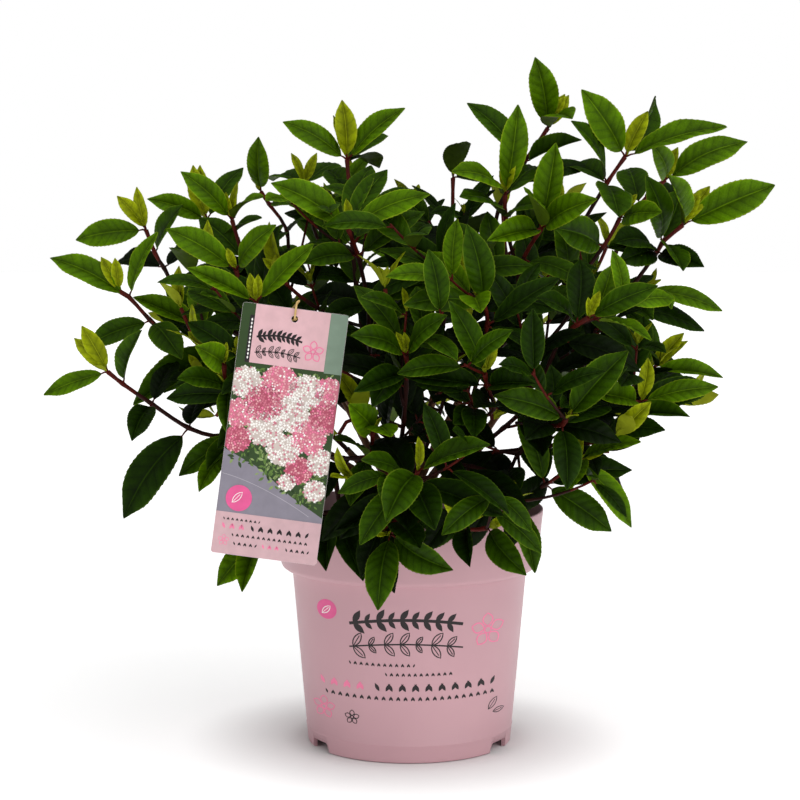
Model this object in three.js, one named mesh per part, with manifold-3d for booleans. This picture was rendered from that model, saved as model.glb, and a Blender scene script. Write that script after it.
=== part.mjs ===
// Potted panicle hydrangea: a bushy young shrub in leaf, in its round nursery pot, with a
// hanging label. Millimetres, +Z up. The origin is the middle of the pot's flat underside,
// -Y is the front and +X the right.

import * as THREE from "three";
import { mergeVertices } from "three/addons/utils/BufferGeometryUtils.js";
import Module from "manifold-3d";

const wasm = await Module();
wasm.setup();

// Clearance between separate pieces
const GAP = 0.3;

// Pot: a five litre nursery container with a deep collar and three notches in its foot
const POT_HEIGHT = 202;
const RIM_RADIUS = 115;
const COLLAR_HEIGHT = 50.4;
const COLLAR_FOOT_RADIUS = 110.4;
const COLLAR_CORNER = 5;
const BODY_TOP_RADIUS = 100.7;
const BASE_RADIUS = 87.7;
const WALL = 2.1;
const FLOOR = 3;
const CHANNEL_HEIGHT = 9.5;
const CHANNEL_WIDTH = 10.5;
const FOOT_RING = 3.6;
const NOTCH_COUNT = 3;
const NOTCH_WIDTH = 27;
const NOTCH_HEIGHT = 8.5;
const NOTCH_DEPTH = 12;
const POT_SIDES = 36;

// Peat and the short trunk that stands in it
const PEAT_LEVEL = 188;
const PEAT_EDGE = 3;
const TRUNK_DOME_RADIUS = 17;
const TRUNK_DOME_HEIGHT = 16;
const TRUNK_NECK_RADIUS = 14;
const TRUNK_FLARE_RADIUS = 27;
const TRUNK_SIDES = 12;

// Boughs
const BOUGH_FOOT_RADIUS = 4;
const BOUGH_TIP_RADIUS = 2.5;
const BOUGH_SHARE = 0.44;
const BOUGH_SIDES = 6;
const BOUGH_STEPS = 5;
const OUTER_RISE = 32;
const INNER_RISE = 66;
const FORK_STEP = 9;

// Twigs
const STEM_FOOT_RADIUS = 2;
const STEM_TIP_RADIUS = 1.2;
const TWIG_FOOT_RADIUS = 1.5;
const TWIG_SIDES = 3;
const STEM_STEPS = 5;
const TWIG_STEPS = 3;
const FIRST_BRANCH_AT = 0.3;
const BRANCH_STEP = 0.16;

// Leaf pairs from the shoot's tip inwards: distance along the shoot, length, angle to the
// shoot, and the least rise of a leaf that would point down, because leaves turn to the light
const LEAF_PAIRS = [
  { fromTip: 8, length: 71, spread: 55, rise: 0.26 },
  { fromTip: 38, length: 74, spread: 58, rise: 0 },
  { fromTip: 74, length: 76, spread: 66, rise: -0.15 },
  { fromTip: 108, length: 76, spread: 72, rise: -0.25 },
  { fromTip: 142, length: 74, spread: 76, rise: -0.25 },
];
const LEAF_WIDTH = 0.52;
const LEAF_WIDEST = 0.44;
const LEAF_THICKNESS = 0.02;
const LEAF_FOLD = 0.3;
const LEAF_ARCH = 0.06;
const LEAF_TIP_DROP = 0.08;
const LEAF_SUNK = 0.6;
const LEAF_NECK = 5;
const FIRST_LEAF = 16;
const TURN_WANDER = 0.4;

// Leaves hang more the lower their node is, below this height and over this range
const HANG_BELOW = 280;
const HANG_RANGE = 60;
const HANG = 1.3;
const BUD = { length: 32, width: 10 };

// Seeded side shoots
const SIDE_SHOOTS = 1;
const SIDE_SHOOT_TRIES = 12;
const SIDE_SHOOT_LENGTH = 88;
const SIDE_SHOOT_SPREAD = 44;
const SIDE_SHOOT_PAIRS = 3;
const GOLDEN_ANGLE = 137.5;

// The space that the crown's side shoots keep to, as an ellipsoid
const CROWN_CENTRE_HEIGHT = 300;
const CROWN_HALF_WIDTH = 225;
const CROWN_HALF_DEPTH = 215;
const CROWN_HALF_HEIGHT = 190;

// Clearances of leaves and twigs to the space of the next mass, to limbs and to the pot
const SPACE_MARGIN = 1.6;
const LIMB_MARGIN = 5;
const POT_MARGIN = 4;

// Label: a thin card that hangs from a tie, turned a little in its own plane
const CARD_WIDTH = 81;
const CARD_HEIGHT = 192;
const CARD_THICKNESS = 0.8;
const CARD_CORNER = 1.5;
const CARD_LEAN = 7.5;
const CARD_PITCH = 5;
const CARD_TOP = new THREE.Vector3(-87, -200, 385);
const CARD_HOLE_RADIUS = 2.6;
const CARD_HOLE_DEPTH = 8;
const CARD_MARGIN = 7;
const TIE_RADIUS = 0.8;
const TIE_MARGIN = 4;
const TIE_AT = 0.86;

// Boughs by the bearing at which they leave the trunk, from the front, right positive
const BOUGHS = [
  { name: "left_low", bearing: -96, rise: OUTER_RISE },
  { name: "front_left", bearing: -50, rise: OUTER_RISE },
  { name: "front", bearing: -8, rise: OUTER_RISE },
  { name: "front_right", bearing: 30, rise: OUTER_RISE },
  { name: "right_front", bearing: 66, rise: OUTER_RISE },
  { name: "right", bearing: 102, rise: OUTER_RISE },
  { name: "back_right", bearing: 140, rise: OUTER_RISE },
  { name: "back", bearing: 180, rise: OUTER_RISE },
  { name: "back_left", bearing: -140, rise: OUTER_RISE },
  { name: "left_high", bearing: -118, rise: INNER_RISE },
  { name: "centre_left", bearing: -28, rise: INNER_RISE },
  { name: "right_top", bearing: 62, rise: INNER_RISE },
  { name: "centre_right", bearing: 152, rise: INNER_RISE },
];

// Masses of foliage, each with its bough, its leaves' size against the usual, how far they
// droop and the tips of its leading shoots: bearing from the front in degrees, reach from the
// pot's axis, height and, where the first two leaves don't spread left and right, their turn
const MASSES = [
  { name: "left_reach", bough: "left_low", leaf: 0.84, droop: 0.35, tips: [[-75, 262, 322], [-80, 184, 240]] },
  { name: "left_side", bough: "left_low", leaf: 0.95, tips: [[-86, 244, 404], [-92, 200, 336]] },
  { name: "left_high", bough: "left_high", leaf: 0.95, tips: [[-100, 226, 436], [-106, 184, 450]] },
  { name: "left_inner", bough: "left_high", leaf: 0.9, tips: [[-90, 150, 450], [-119, 143, 474, 70]] },
  { name: "top_left", bough: "centre_left", leaf: 0.95, tips: [[-110, 60, 510], [-140, 130, 476]] },
  { name: "front_left_high", bough: "centre_left", leaf: 0.95, tips: [[-22, 130, 446], [-47, 192, 410]] },
  { name: "front_left", bough: "front_left", leaf: 0.9, tips: [[-37, 205, 388], [-38, 235, 336]] },
  { name: "front_left_low", bough: "front_left", leaf: 1, tips: [[-56, 152, 218], [-26, 176, 272]] },
  {
    name: "front_mid",
    bough: "front",
    leaf: 1,
    tips: [[-1, 195, 350], [-12, 172, 300], [-24, 140, 280]],
  },
  { name: "front_low", bough: "front", leaf: 1.1, tips: [[1, 225, 276], [-7, 170, 226]] },
  {
    name: "front_right_mid",
    bough: "front_right",
    leaf: 1.05,
    tips: [[17, 193, 386], [15, 213, 330], [30, 132, 290]],
  },
  { name: "front_right_low", bough: "front_right", leaf: 1, tips: [[21, 171, 230], [42, 168, 240]] },
  {
    name: "right_front",
    bough: "right_front",
    leaf: 1,
    tips: [[39, 213, 374], [34, 223, 298], [44, 136, 296]],
  },
  { name: "right_front_low", bough: "right_front", leaf: 1, tips: [[63, 206, 306], [50, 184, 258]] },
  { name: "right_front_high", bough: "right_top", leaf: 1.05, tips: [[43, 156, 446], [71, 181, 448]] },
  { name: "right_top", bough: "right_top", leaf: 1.15, tips: [[84, 178, 510], [62, 86, 474, 70]] },
  { name: "right_high", bough: "right", leaf: 1.1, tips: [[88, 232, 456], [105, 236, 496]] },
  { name: "right_side", bough: "right", leaf: 0.95, tips: [[82, 206, 328], [100, 205, 372]] },
  { name: "top_right", bough: "centre_right", leaf: 1.05, tips: [[95, 115, 546, 60], [120, 150, 450]] },
  { name: "top_back", bough: "centre_right", leaf: 1, tips: [[142, 76, 468], [-170, 110, 440]] },
  {
    name: "centre",
    bough: "trunk",
    leaf: 1,
    tips: [[20, 130, 400], [-170, 74, 340], [-84, 70, 330], [118, 84, 350]],
  },
  { name: "back_right_high", bough: "back_right", leaf: 1, tips: [[126, 222, 420], [150, 172, 450]] },
  { name: "back_right_low", bough: "back_right", leaf: 1, tips: [[148, 222, 336], [122, 204, 272]] },
  { name: "back_mid", bough: "back", leaf: 1, tips: [[180, 226, 382], [176, 200, 266]] },
  { name: "back_left_high", bough: "back_left", leaf: 1, tips: [[-128, 222, 410], [-156, 178, 446]] },
  { name: "back_left_low", bough: "back_left", leaf: 1, tips: [[-152, 228, 334], [-122, 206, 268]] },
];

// Materials
const MATERIALS = {
  pot: { color: 0xc9a0a8, roughness: 0.5 },
  peat: { color: 0x2a1a12, roughness: 1 },
  bark: { color: 0x5c3a2a, roughness: 0.85 },
  leaf: { color: 0x3d6b1c, roughness: 0.5 },
  card: { color: 0xd9a6ae, roughness: 0.4 },
  tie: { color: 0xc8b060, roughness: 0.6 },
};

const UP = new THREE.Vector3(0, 0, 1);
const LIGHT = new THREE.Vector3(0, -0.7, 0.7);
const radians = THREE.MathUtils.degToRad;

function paint(kind) {
  return new THREE.MeshStandardMaterial({ ...MATERIALS[kind], metalness: 0 });
}

// A seeded stream of numbers from 0 to 1
function stream(seed) {
  let state = (seed * 7919 + 104729) % 2147483647;
  return function next() {
    state = (state * 16807) % 2147483647;
    return state / 2147483647;
  };
}

// A point at a bearing from the front, a reach from the axis and a height
function place([bearing, reach, height]) {
  const angle = radians(bearing);
  return new THREE.Vector3(Math.sin(angle) * reach, -Math.cos(angle) * reach, height);
}

// A closed geometry as a solid that can be joined and cut
function solidOf(geometry) {
  const bare = geometry.clone();
  bare.deleteAttribute("normal");
  bare.deleteAttribute("uv");
  const merged = mergeVertices(bare, 1e-4);
  return new wasm.Manifold(
    new wasm.Mesh({
      numProp: 3,
      vertProperties: new Float32Array(merged.attributes.position.array),
      triVerts: new Uint32Array(merged.index.array),
    }),
  );
}

function geometryOf(solid) {
  const mesh = solid.getMesh();
  const geometry = new THREE.BufferGeometry();
  geometry.setAttribute("position", new THREE.BufferAttribute(mesh.vertProperties, 3));
  geometry.setIndex(new THREE.BufferAttribute(mesh.triVerts, 1));
  geometry.computeVertexNormals();
  return geometry;
}

function indexedGeometry(points, faces) {
  const geometry = new THREE.BufferGeometry();
  geometry.setFromPoints(points);
  geometry.setIndex(faces.flat());
  return geometry;
}

// A lathe turned about +Z from a profile of [radius, height] that starts and ends on the axis
function turned(profile, sides) {
  const points = profile.map(([radius, height]) => new THREE.Vector2(radius, height));
  return new THREE.LatheGeometry(points, sides).rotateX(Math.PI / 2);
}

// A direction square to a stem, turned round it by an angle
function square(direction, angle) {
  const reference = Math.abs(direction.z) > 0.9 ? new THREE.Vector3(1, 0, 0) : UP;
  const first = new THREE.Vector3().crossVectors(direction, reference).normalize();
  const second = new THREE.Vector3().crossVectors(direction, first);
  return first.multiplyScalar(Math.cos(angle)).addScaledVector(second, Math.sin(angle));
}

// The directions of a ring's corners about a stem, the first of them across it
function ringAround(along, across, sides) {
  const other = new THREE.Vector3().crossVectors(along, across);
  return Array.from({ length: sides }, (_, side) => {
    const angle = (side / sides) * 2 * Math.PI;
    return across.clone().multiplyScalar(Math.cos(angle)).addScaledVector(other, Math.sin(angle));
  });
}

// A tapering limb: rings of points along a curve, closed by a fan at its foot, and at its
// tip by a fan or by a bud that swells and closes to a point. A seat is the direction that its
// foot's flat end faces away from
function taperedLimb(curve, steps, sides, footRadius, tipRadius, bud = null, seat = null) {
  const rings = [];
  for (let step = 0; step <= steps; step += 1) {
    const share = step / steps;
    const radius = THREE.MathUtils.lerp(footRadius, tipRadius, share);
    rings.push({ centre: curve.getPoint(share), along: curve.getTangent(share), radius });
  }
  rings[0].along = seat ?? rings[0].along;
  const end = rings[steps];
  const upward = end.along.clone().lerp(UP, 0.3).normalize();
  if (bud) {
    const centre = end.centre.clone().addScaledVector(upward, bud.length * 0.4);
    rings.push({ centre, along: upward, radius: bud.width / 2 });
  }
  const points = [];
  const faces = [];
  let across = square(rings[0].along, 0);
  for (const { centre, along, radius } of rings) {
    across = across.clone().addScaledVector(along, -across.dot(along)).normalize();
    for (const out of ringAround(along, across, sides)) {
      points.push(centre.clone().addScaledVector(out, radius));
    }
  }
  const last = (rings.length - 1) * sides;
  for (let a = 0; a < last; a += 1) {
    const b = a % sides === sides - 1 ? a + 1 - sides : a + 1;
    faces.push([a, b, b + sides], [a, b + sides, a + sides]);
  }
  for (let side = 1; side < sides - 1; side += 1) {
    faces.push([0, side + 1, side]);
  }
  if (bud) {
    points.push(end.centre.clone().addScaledVector(upward, bud.length));
    for (let side = 0; side < sides; side += 1) {
      faces.push([last + side, last + ((side + 1) % sides), points.length - 1]);
    }
  } else {
    for (let side = 1; side < sides - 1; side += 1) {
      faces.push([last, last + side, last + side + 1]);
    }
  }
  return indexedGeometry(points, faces);
}

// Pot: a thin wall with a deep collar, a foot ring and a drainage channel inside it
function potGeometry() {
  const collarFoot = POT_HEIGHT - COLLAR_HEIGHT;
  const ringInner = BASE_RADIUS - FOOT_RING;
  const padRadius = ringInner - CHANNEL_WIDTH;
  const corner = [];
  for (let step = 0; step <= 2; step += 1) {
    const angle = (step / 2) * (Math.PI / 2);
    corner.push([
      COLLAR_FOOT_RADIUS - COLLAR_CORNER * (1 - Math.sin(angle)),
      collarFoot + COLLAR_CORNER * (1 - Math.cos(angle)),
    ]);
  }
  const profile = [
    [0, 0],
    [padRadius - 3, 0],
    [padRadius, CHANNEL_HEIGHT],
    [ringInner, CHANNEL_HEIGHT],
    [ringInner, 0],
    [BASE_RADIUS, 0],
    [BODY_TOP_RADIUS, collarFoot - 1],
    [BODY_TOP_RADIUS + 1.5, collarFoot],
    ...corner,
    [RIM_RADIUS, POT_HEIGHT - 1],
    [RIM_RADIUS - 0.6, POT_HEIGHT],
    [RIM_RADIUS - WALL, POT_HEIGHT],
    ...potInside(0).reverse(),
  ];
  let solid = solidOf(turned(profile, POT_SIDES));
  for (let index = 0; index < NOTCH_COUNT; index += 1) {
    const bearing = 60 + (index * 360) / NOTCH_COUNT;
    const cutter = new THREE.BoxGeometry(NOTCH_WIDTH, NOTCH_DEPTH, 2 * NOTCH_HEIGHT);
    cutter.translate(0, -(BASE_RADIUS - NOTCH_DEPTH / 2 + 4), 0);
    cutter.rotateZ(radians(bearing));
    solid = solid.subtract(solidOf(cutter));
  }
  return geometryOf(solid);
}

// The pot's inner profile from the floor's middle up to the rim, drawn in by a clearance
function potInside(clearance) {
  const collarFoot = POT_HEIGHT - COLLAR_HEIGHT;
  const padRadius = BASE_RADIUS - FOOT_RING - CHANNEL_WIDTH;
  const channelTop = CHANNEL_HEIGHT + FLOOR - 0.5;
  return [
    [0, FLOOR + clearance],
    [padRadius - 5.5 - clearance, FLOOR + clearance],
    [padRadius - 2.5 - clearance, channelTop + clearance],
    [BASE_RADIUS - WALL + 0.9 - clearance, channelTop + clearance],
    [BODY_TOP_RADIUS - WALL - clearance, collarFoot + 1 + clearance],
    [COLLAR_FOOT_RADIUS - WALL - 2 - clearance, collarFoot + WALL + clearance],
    [COLLAR_FOOT_RADIUS - WALL - clearance, collarFoot + COLLAR_CORNER + clearance],
    [RIM_RADIUS - WALL - 0.4 - clearance, POT_HEIGHT - 1],
  ];
}

// Peat: it fills the pot up to a level just under the rim, its edge rounded off
function peatGeometry() {
  const inside = potInside(GAP);
  const [[footRadius, footHeight], [rimRadius, rimHeight]] = inside.slice(-2);
  const share = (PEAT_LEVEL - PEAT_EDGE - footHeight) / (rimHeight - footHeight);
  const wall = THREE.MathUtils.lerp(footRadius, rimRadius, share);
  const profile = [
    ...inside.slice(0, -1),
    [wall, PEAT_LEVEL - PEAT_EDGE],
    [wall - 2 * PEAT_EDGE, PEAT_LEVEL],
    [0, PEAT_LEVEL],
  ];
  return turned(profile, POT_SIDES);
}

// Trunk: a flat cut on the peat, a flare, a neck and a knuckle that the boughs leave
const trunkFoot = PEAT_LEVEL + GAP;
const trunkCentre = new THREE.Vector3(0, 0, trunkFoot + TRUNK_DOME_HEIGHT);

function trunkGeometry() {
  const profile = [
    [0, trunkFoot],
    [TRUNK_FLARE_RADIUS, trunkFoot],
    [TRUNK_FLARE_RADIUS * 0.74, trunkFoot + 2.5],
    [TRUNK_NECK_RADIUS, trunkFoot + 7],
  ];
  for (let step = -1; step < 4; step += 1) {
    const angle = radians(step * 22.5);
    profile.push([
      TRUNK_DOME_RADIUS * Math.cos(angle),
      trunkCentre.z + TRUNK_DOME_RADIUS * Math.sin(angle),
    ]);
  }
  profile.push([0, trunkCentre.z + TRUNK_DOME_RADIUS]);
  return turned(profile, TRUNK_SIDES);
}

// Each bough's curve from the trunk's knuckle to the fork that its masses grow from
function boughCurve(bough) {
  const tips = MASSES.filter((mass) => mass.bough === bough.name).flatMap((mass) => mass.tips);
  const middle = new THREE.Vector3();
  tips.forEach((tip) => middle.addScaledVector(place(tip), 1 / tips.length));
  const fork = trunkCentre.clone().lerp(middle, BOUGH_SHARE);
  fork.z = Math.max(fork.z + 12, POT_HEIGHT + 32);
  const rise = radians(bough.rise);
  const heading = place([bough.bearing, Math.cos(rise), Math.sin(rise)]);
  const foot = trunkCentre.clone().addScaledVector(heading, TRUNK_DOME_RADIUS + GAP);
  const length = foot.distanceTo(fork);
  const arrival = middle.clone().sub(fork).normalize().lerp(UP, 0.25).normalize();
  return new THREE.CubicBezierCurve3(
    foot,
    foot.clone().addScaledVector(heading, length * 0.35),
    fork.clone().addScaledVector(arrival, -length * 0.35),
    fork,
  );
}

// A leading shoot's curve: out first and then up, or over in an arch where it hangs
function shootCurve(start, tip) {
  const reach = tip.clone().sub(start);
  const bend = start.clone();
  if (reach.z > 0) {
    bend.add(new THREE.Vector3(reach.x * 0.68, reach.y * 0.68, reach.z * 0.33));
  } else {
    bend.add(new THREE.Vector3(reach.x * 0.85, reach.y * 0.85, 18));
  }
  return new THREE.QuadraticBezierCurve3(start, bend, tip);
}

// A curve as equal straight stretches, so that what grows on it meets its flat-sided solid
function stretched(curve, steps) {
  const points = curve.getSpacedPoints(steps);
  const path = new THREE.CurvePath();
  points.slice(1).forEach((point, order) => path.add(new THREE.LineCurve3(points[order], point)));
  return path;
}

// Where each mass's stem starts and how its foot faces: on the trunk's knuckle, in line at
// its bough's tip, or on that bough's side just below
function stemSeat(bough, order, tip) {
  if (bough === "trunk") {
    return { start: trunkCentre.clone().addScaledVector(UP, TRUNK_DOME_RADIUS + GAP), seat: UP };
  }
  const curve = boughCurves[bough];
  const share = 1 - (order * FORK_STEP) / curve.getLength();
  const point = curve.getPointAt(share);
  const along = curve.getTangentAt(share);
  if (order === 0) {
    return { start: point.addScaledVector(along, GAP), seat: along };
  }
  const away = tip.clone().sub(point);
  away.addScaledVector(along, -away.dot(along)).normalize();
  const radius = THREE.MathUtils.lerp(BOUGH_FOOT_RADIUS, BOUGH_TIP_RADIUS, share);
  const seat = away.clone().lerp(along, 0.5).normalize();
  const dip = Math.max(...ringAround(seat, square(seat, 0), TWIG_SIDES).map((out) => -out.dot(away)));
  return { start: point.addScaledVector(away, radius + dip * STEM_FOOT_RADIUS + GAP), seat };
}

// The leading shoots of every mass, worked out before any leaf, because they share out the
// crown's space: a point belongs to the mass whose leading shoots are nearest
function leadingShoots() {
  const orders = {};
  return MASSES.map((mass) => {
    const order = orders[mass.bough] ?? 0;
    orders[mass.bough] = order + 1;
    const [first, ...others] = mass.tips.map(place);
    const { start, seat } = stemSeat(mass.bough, order, first);
    const stem = stretched(shootCurve(start, first), STEM_STEPS);
    const branches = others.map((tip, index) => {
      const fork = stem.getPointAt(FIRST_BRANCH_AT + index * BRANCH_STEP);
      return stretched(shootCurve(fork, tip), TWIG_STEPS);
    });
    const marks = [stem, ...branches].flatMap((curve) => curve.getSpacedPoints(14));
    const turns = mass.tips.map(([, , , turn]) => radians(turn ?? 0));
    return { stem, seat, branches, marks, turns };
  });
}

const boughCurves = Object.fromEntries(BOUGHS.map((bough) => [bough.name, boughCurve(bough)]));
const limbMarks = Object.values(boughCurves).flatMap((curve) =>
  curve.getSpacedPoints(24).map((point, index) => ({
    point,
    radius: THREE.MathUtils.lerp(BOUGH_FOOT_RADIUS, BOUGH_TIP_RADIUS, index / 24),
  })),
);
const leads = leadingShoots();

// Label card: its frame, its outline and the hole that the tie runs through
function cardMatrix() {
  const matrix = new THREE.Matrix4().makeTranslation(CARD_TOP);
  matrix.multiply(new THREE.Matrix4().makeRotationX(radians(90 - CARD_PITCH)));
  return matrix.multiply(new THREE.Matrix4().makeRotationZ(radians(-CARD_LEAN)));
}

function cardGeometry() {
  const half = CARD_WIDTH / 2;
  const outline = new THREE.Shape();
  outline.moveTo(-half + CARD_CORNER, -CARD_HEIGHT);
  outline.lineTo(half - CARD_CORNER, -CARD_HEIGHT);
  outline.lineTo(half, -CARD_HEIGHT + CARD_CORNER);
  outline.lineTo(half, -CARD_CORNER);
  outline.lineTo(half - CARD_CORNER, 0);
  outline.lineTo(-half + CARD_CORNER, 0);
  outline.lineTo(-half, -CARD_CORNER);
  outline.lineTo(-half, -CARD_HEIGHT + CARD_CORNER);
  const hole = new THREE.Path();
  hole.absarc(0, -CARD_HOLE_DEPTH, CARD_HOLE_RADIUS, 0, 2 * Math.PI, true);
  outline.holes.push(hole);
  const settings = { depth: CARD_THICKNESS, bevelEnabled: false, curveSegments: 6 };
  const geometry = new THREE.ExtrudeGeometry(outline, settings);
  return geometry.translate(0, 0, -CARD_THICKNESS / 2).applyMatrix4(cardMatrix());
}

const cardFrame = cardMatrix();
const cardInverse = cardFrame.clone().invert();

// Tie: a closed loop through the card's hole, over its top edge and round a leading shoot
const tieShoot = leads[MASSES.findIndex((mass) => mass.name === "front_left")].stem;

function tieCurve() {
  const twig = tieShoot.getPointAt(TIE_AT);
  const along = tieShoot.getTangentAt(TIE_AT);
  const hole = new THREE.Vector3(0, -CARD_HOLE_DEPTH, 0).applyMatrix4(cardFrame);
  const behind = new THREE.Vector3(0, -CARD_HOLE_DEPTH, -7).applyMatrix4(cardFrame);
  const above = new THREE.Vector3(0, 4, -6).applyMatrix4(cardFrame);
  const crest = new THREE.Vector3(0, 4.5, 0).applyMatrix4(cardFrame);
  const front = new THREE.Vector3(0, -1.5, 3.2).applyMatrix4(cardFrame);
  const toward = hole.clone().sub(twig);
  toward.addScaledVector(along, -toward.dot(along)).normalize();
  const aside = new THREE.Vector3().crossVectors(along, toward);
  const near = (a, b) => twig.clone().addScaledVector(toward, a).addScaledVector(aside, b);
  const loop = [near(8, -3.6), near(0, -3.6), near(-3.2, 0), near(0, 3.6), near(8, 3.6)];
  const points = [hole, behind, ...loop, above, crest, front];
  return new THREE.CatmullRomCurve3(points, true, "centripetal");
}

const tiePath = tieCurve();
const tieMarks = tiePath.getSpacedPoints(40);

function tieGeometry() {
  const tube = new THREE.TubeGeometry(tiePath, 36, TIE_RADIUS, 4, true);
  return geometryOf(solidOf(tube));
}

// The space test for one mass: inside its own part of the crown, clear of limbs and pot
function distanceTo(marks, point) {
  return Math.sqrt(Math.min(...marks.map((mark) => mark.distanceToSquared(point))));
}

function spaceOf(index) {
  const own = leads[index].marks;
  const others = leads.filter((lead, other) => other !== index).flatMap((lead) => lead.marks);
  return function holds(point) {
    if (Math.hypot(point.x, point.y) < RIM_RADIUS + POT_MARGIN && point.z < POT_HEIGHT + POT_MARGIN) {
      return false;
    }
    if (distanceTo(own, point) + 2 * SPACE_MARGIN > distanceTo(others, point)) {
      return false;
    }
    if (limbMarks.some((mark) => mark.point.distanceTo(point) < mark.radius + LIMB_MARGIN)) {
      return false;
    }
    const onCard = point.clone().applyMatrix4(cardInverse);
    const beside = Math.abs(onCard.x) < CARD_WIDTH / 2 + CARD_MARGIN;
    const level = onCard.y < 6 + CARD_MARGIN && onCard.y > -CARD_HEIGHT - CARD_MARGIN;
    if (beside && level && onCard.z > -CARD_MARGIN && onCard.z < 60) {
      return false;
    }
    return !tieMarks.some((mark) => mark.distanceTo(point) < TIE_MARGIN + TIE_RADIUS);
  };
}

// One leaf: a thin folded blade that arches and drops to its tip, its root sunk in the twig
function leafFrame(node, along, turn, spread, rise, droop) {
  const out = square(along, turn);
  const forward = along.clone().multiplyScalar(Math.cos(spread)).addScaledVector(out, Math.sin(spread));
  forward.z = Math.max(forward.z, rise);
  forward.addScaledVector(UP, -droop).normalize();
  const normal = LIGHT.clone().addScaledVector(along, 0.35);
  normal.addScaledVector(forward, -normal.dot(forward)).normalize();
  const aside = new THREE.Vector3().crossVectors(normal, forward);
  return { node, forward, normal, aside };
}

function leafPoint(frame, length, along, aside, lift) {
  return frame.node
    .clone()
    .addScaledVector(frame.forward, along * length)
    .addScaledVector(frame.aside, aside * length)
    .addScaledVector(frame.normal, lift * length);
}

function leafSamples(frame, length) {
  const samples = [];
  for (const at of [0.25, 0.45, 0.65, 0.85, 1]) {
    const half = (LEAF_WIDTH / 2) * Math.min(at / LEAF_WIDEST, (1 - at) / (1 - LEAF_WIDEST));
    const lift = LEAF_ARCH * Math.sin(Math.PI * at) - LEAF_TIP_DROP * at * at;
    samples.push(leafPoint(frame, length, at, 0, lift));
    samples.push(leafPoint(frame, length, at, half, lift + half * LEAF_FOLD));
    samples.push(leafPoint(frame, length, at, -half, lift + half * LEAF_FOLD));
  }
  return samples;
}

// The corners of a leaf's middle surface: left, tip, right and the midrib's crest
function leafCorners(frame, length) {
  const half = LEAF_WIDTH / 2;
  const side = LEAF_ARCH * 0.7 + half * LEAF_FOLD;
  return {
    left: leafPoint(frame, length, LEAF_WIDEST, half, side),
    right: leafPoint(frame, length, LEAF_WIDEST, -half, side),
    tip: leafPoint(frame, length, 1, 0, -LEAF_TIP_DROP),
    crest: leafPoint(frame, length, LEAF_WIDEST * 0.85, 0, LEAF_ARCH),
    neck: leafPoint(frame, length, LEAF_NECK / length, 0, 0.01),
  };
}

// A leaf's solid: eight faces round a crest, its root just past the middle of the twig
function leafGeometry(frame, length) {
  const { left, right, tip, crest } = leafCorners(frame, length);
  const half = (LEAF_THICKNESS * length) / 2;
  const points = [
    frame.node.clone().addScaledVector(frame.forward, -LEAF_SUNK),
    left,
    tip,
    right,
    crest.clone().addScaledVector(frame.normal, half),
    crest.clone().addScaledVector(frame.normal, -half),
  ];
  const faces = [];
  for (let side = 0; side < 4; side += 1) {
    const next = (side + 1) % 4;
    faces.push([side, 4, next], [side, next, 5]);
  }
  return indexedGeometry(points, faces);
}

// Whether a straight edge passes through a triangle
const edgeRay = new THREE.Ray();
const crossing = new THREE.Vector3();

function pierces(from, to, [a, b, c]) {
  edgeRay.origin.copy(from);
  edgeRay.direction.copy(to).sub(from);
  const reach = edgeRay.direction.length();
  edgeRay.direction.divideScalar(reach);
  const hit = edgeRay.intersectTriangle(a, b, c, false, crossing);
  return hit !== null && hit.distanceTo(from) < reach;
}

// A leaf's middle surface as edges and triangles, for the test against its neighbours
function leafSurface(frame, length) {
  const { left, right, tip, crest, neck } = leafCorners(frame, length);
  return {
    middle: crest,
    edges: [[neck, left], [left, tip], [tip, right], [right, neck], [neck, crest], [crest, tip]],
    triangles: [[neck, left, crest], [left, tip, crest], [tip, right, crest], [right, neck, crest]],
  };
}

function cross(one, other) {
  return one.edges.some(([from, to]) => other.triangles.some((face) => pierces(from, to, face)));
}

function meets(surface, placed, twigEdges) {
  if (twigEdges.some(([from, to]) => surface.triangles.some((face) => pierces(from, to, face)))) {
    return true;
  }
  const near = placed.filter((other) => other.middle.distanceTo(surface.middle) < 90);
  return near.some((other) => cross(surface, other) || cross(other, surface));
}

// Other ways to set a leaf that doesn't fit: turn, spread and size
const LEAF_TRIES = [
  [0, 0, 1],
  [0, -14, 1],
  [0, 14, 1],
  [18, 0, 0.94],
  [-18, 0, 0.94],
  [0, -22, 0.85],
  [28, -10, 0.8],
  [-28, -10, 0.8],
  [0, -30, 0.72],
];

// The turn round a stem at which a pair of leaves spreads to the left and right
function facingTurn(along) {
  const right = new THREE.Vector3(1, 0, 0);
  return Math.atan2(right.dot(square(along, Math.PI / 2)), right.dot(square(along, 0)));
}

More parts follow.
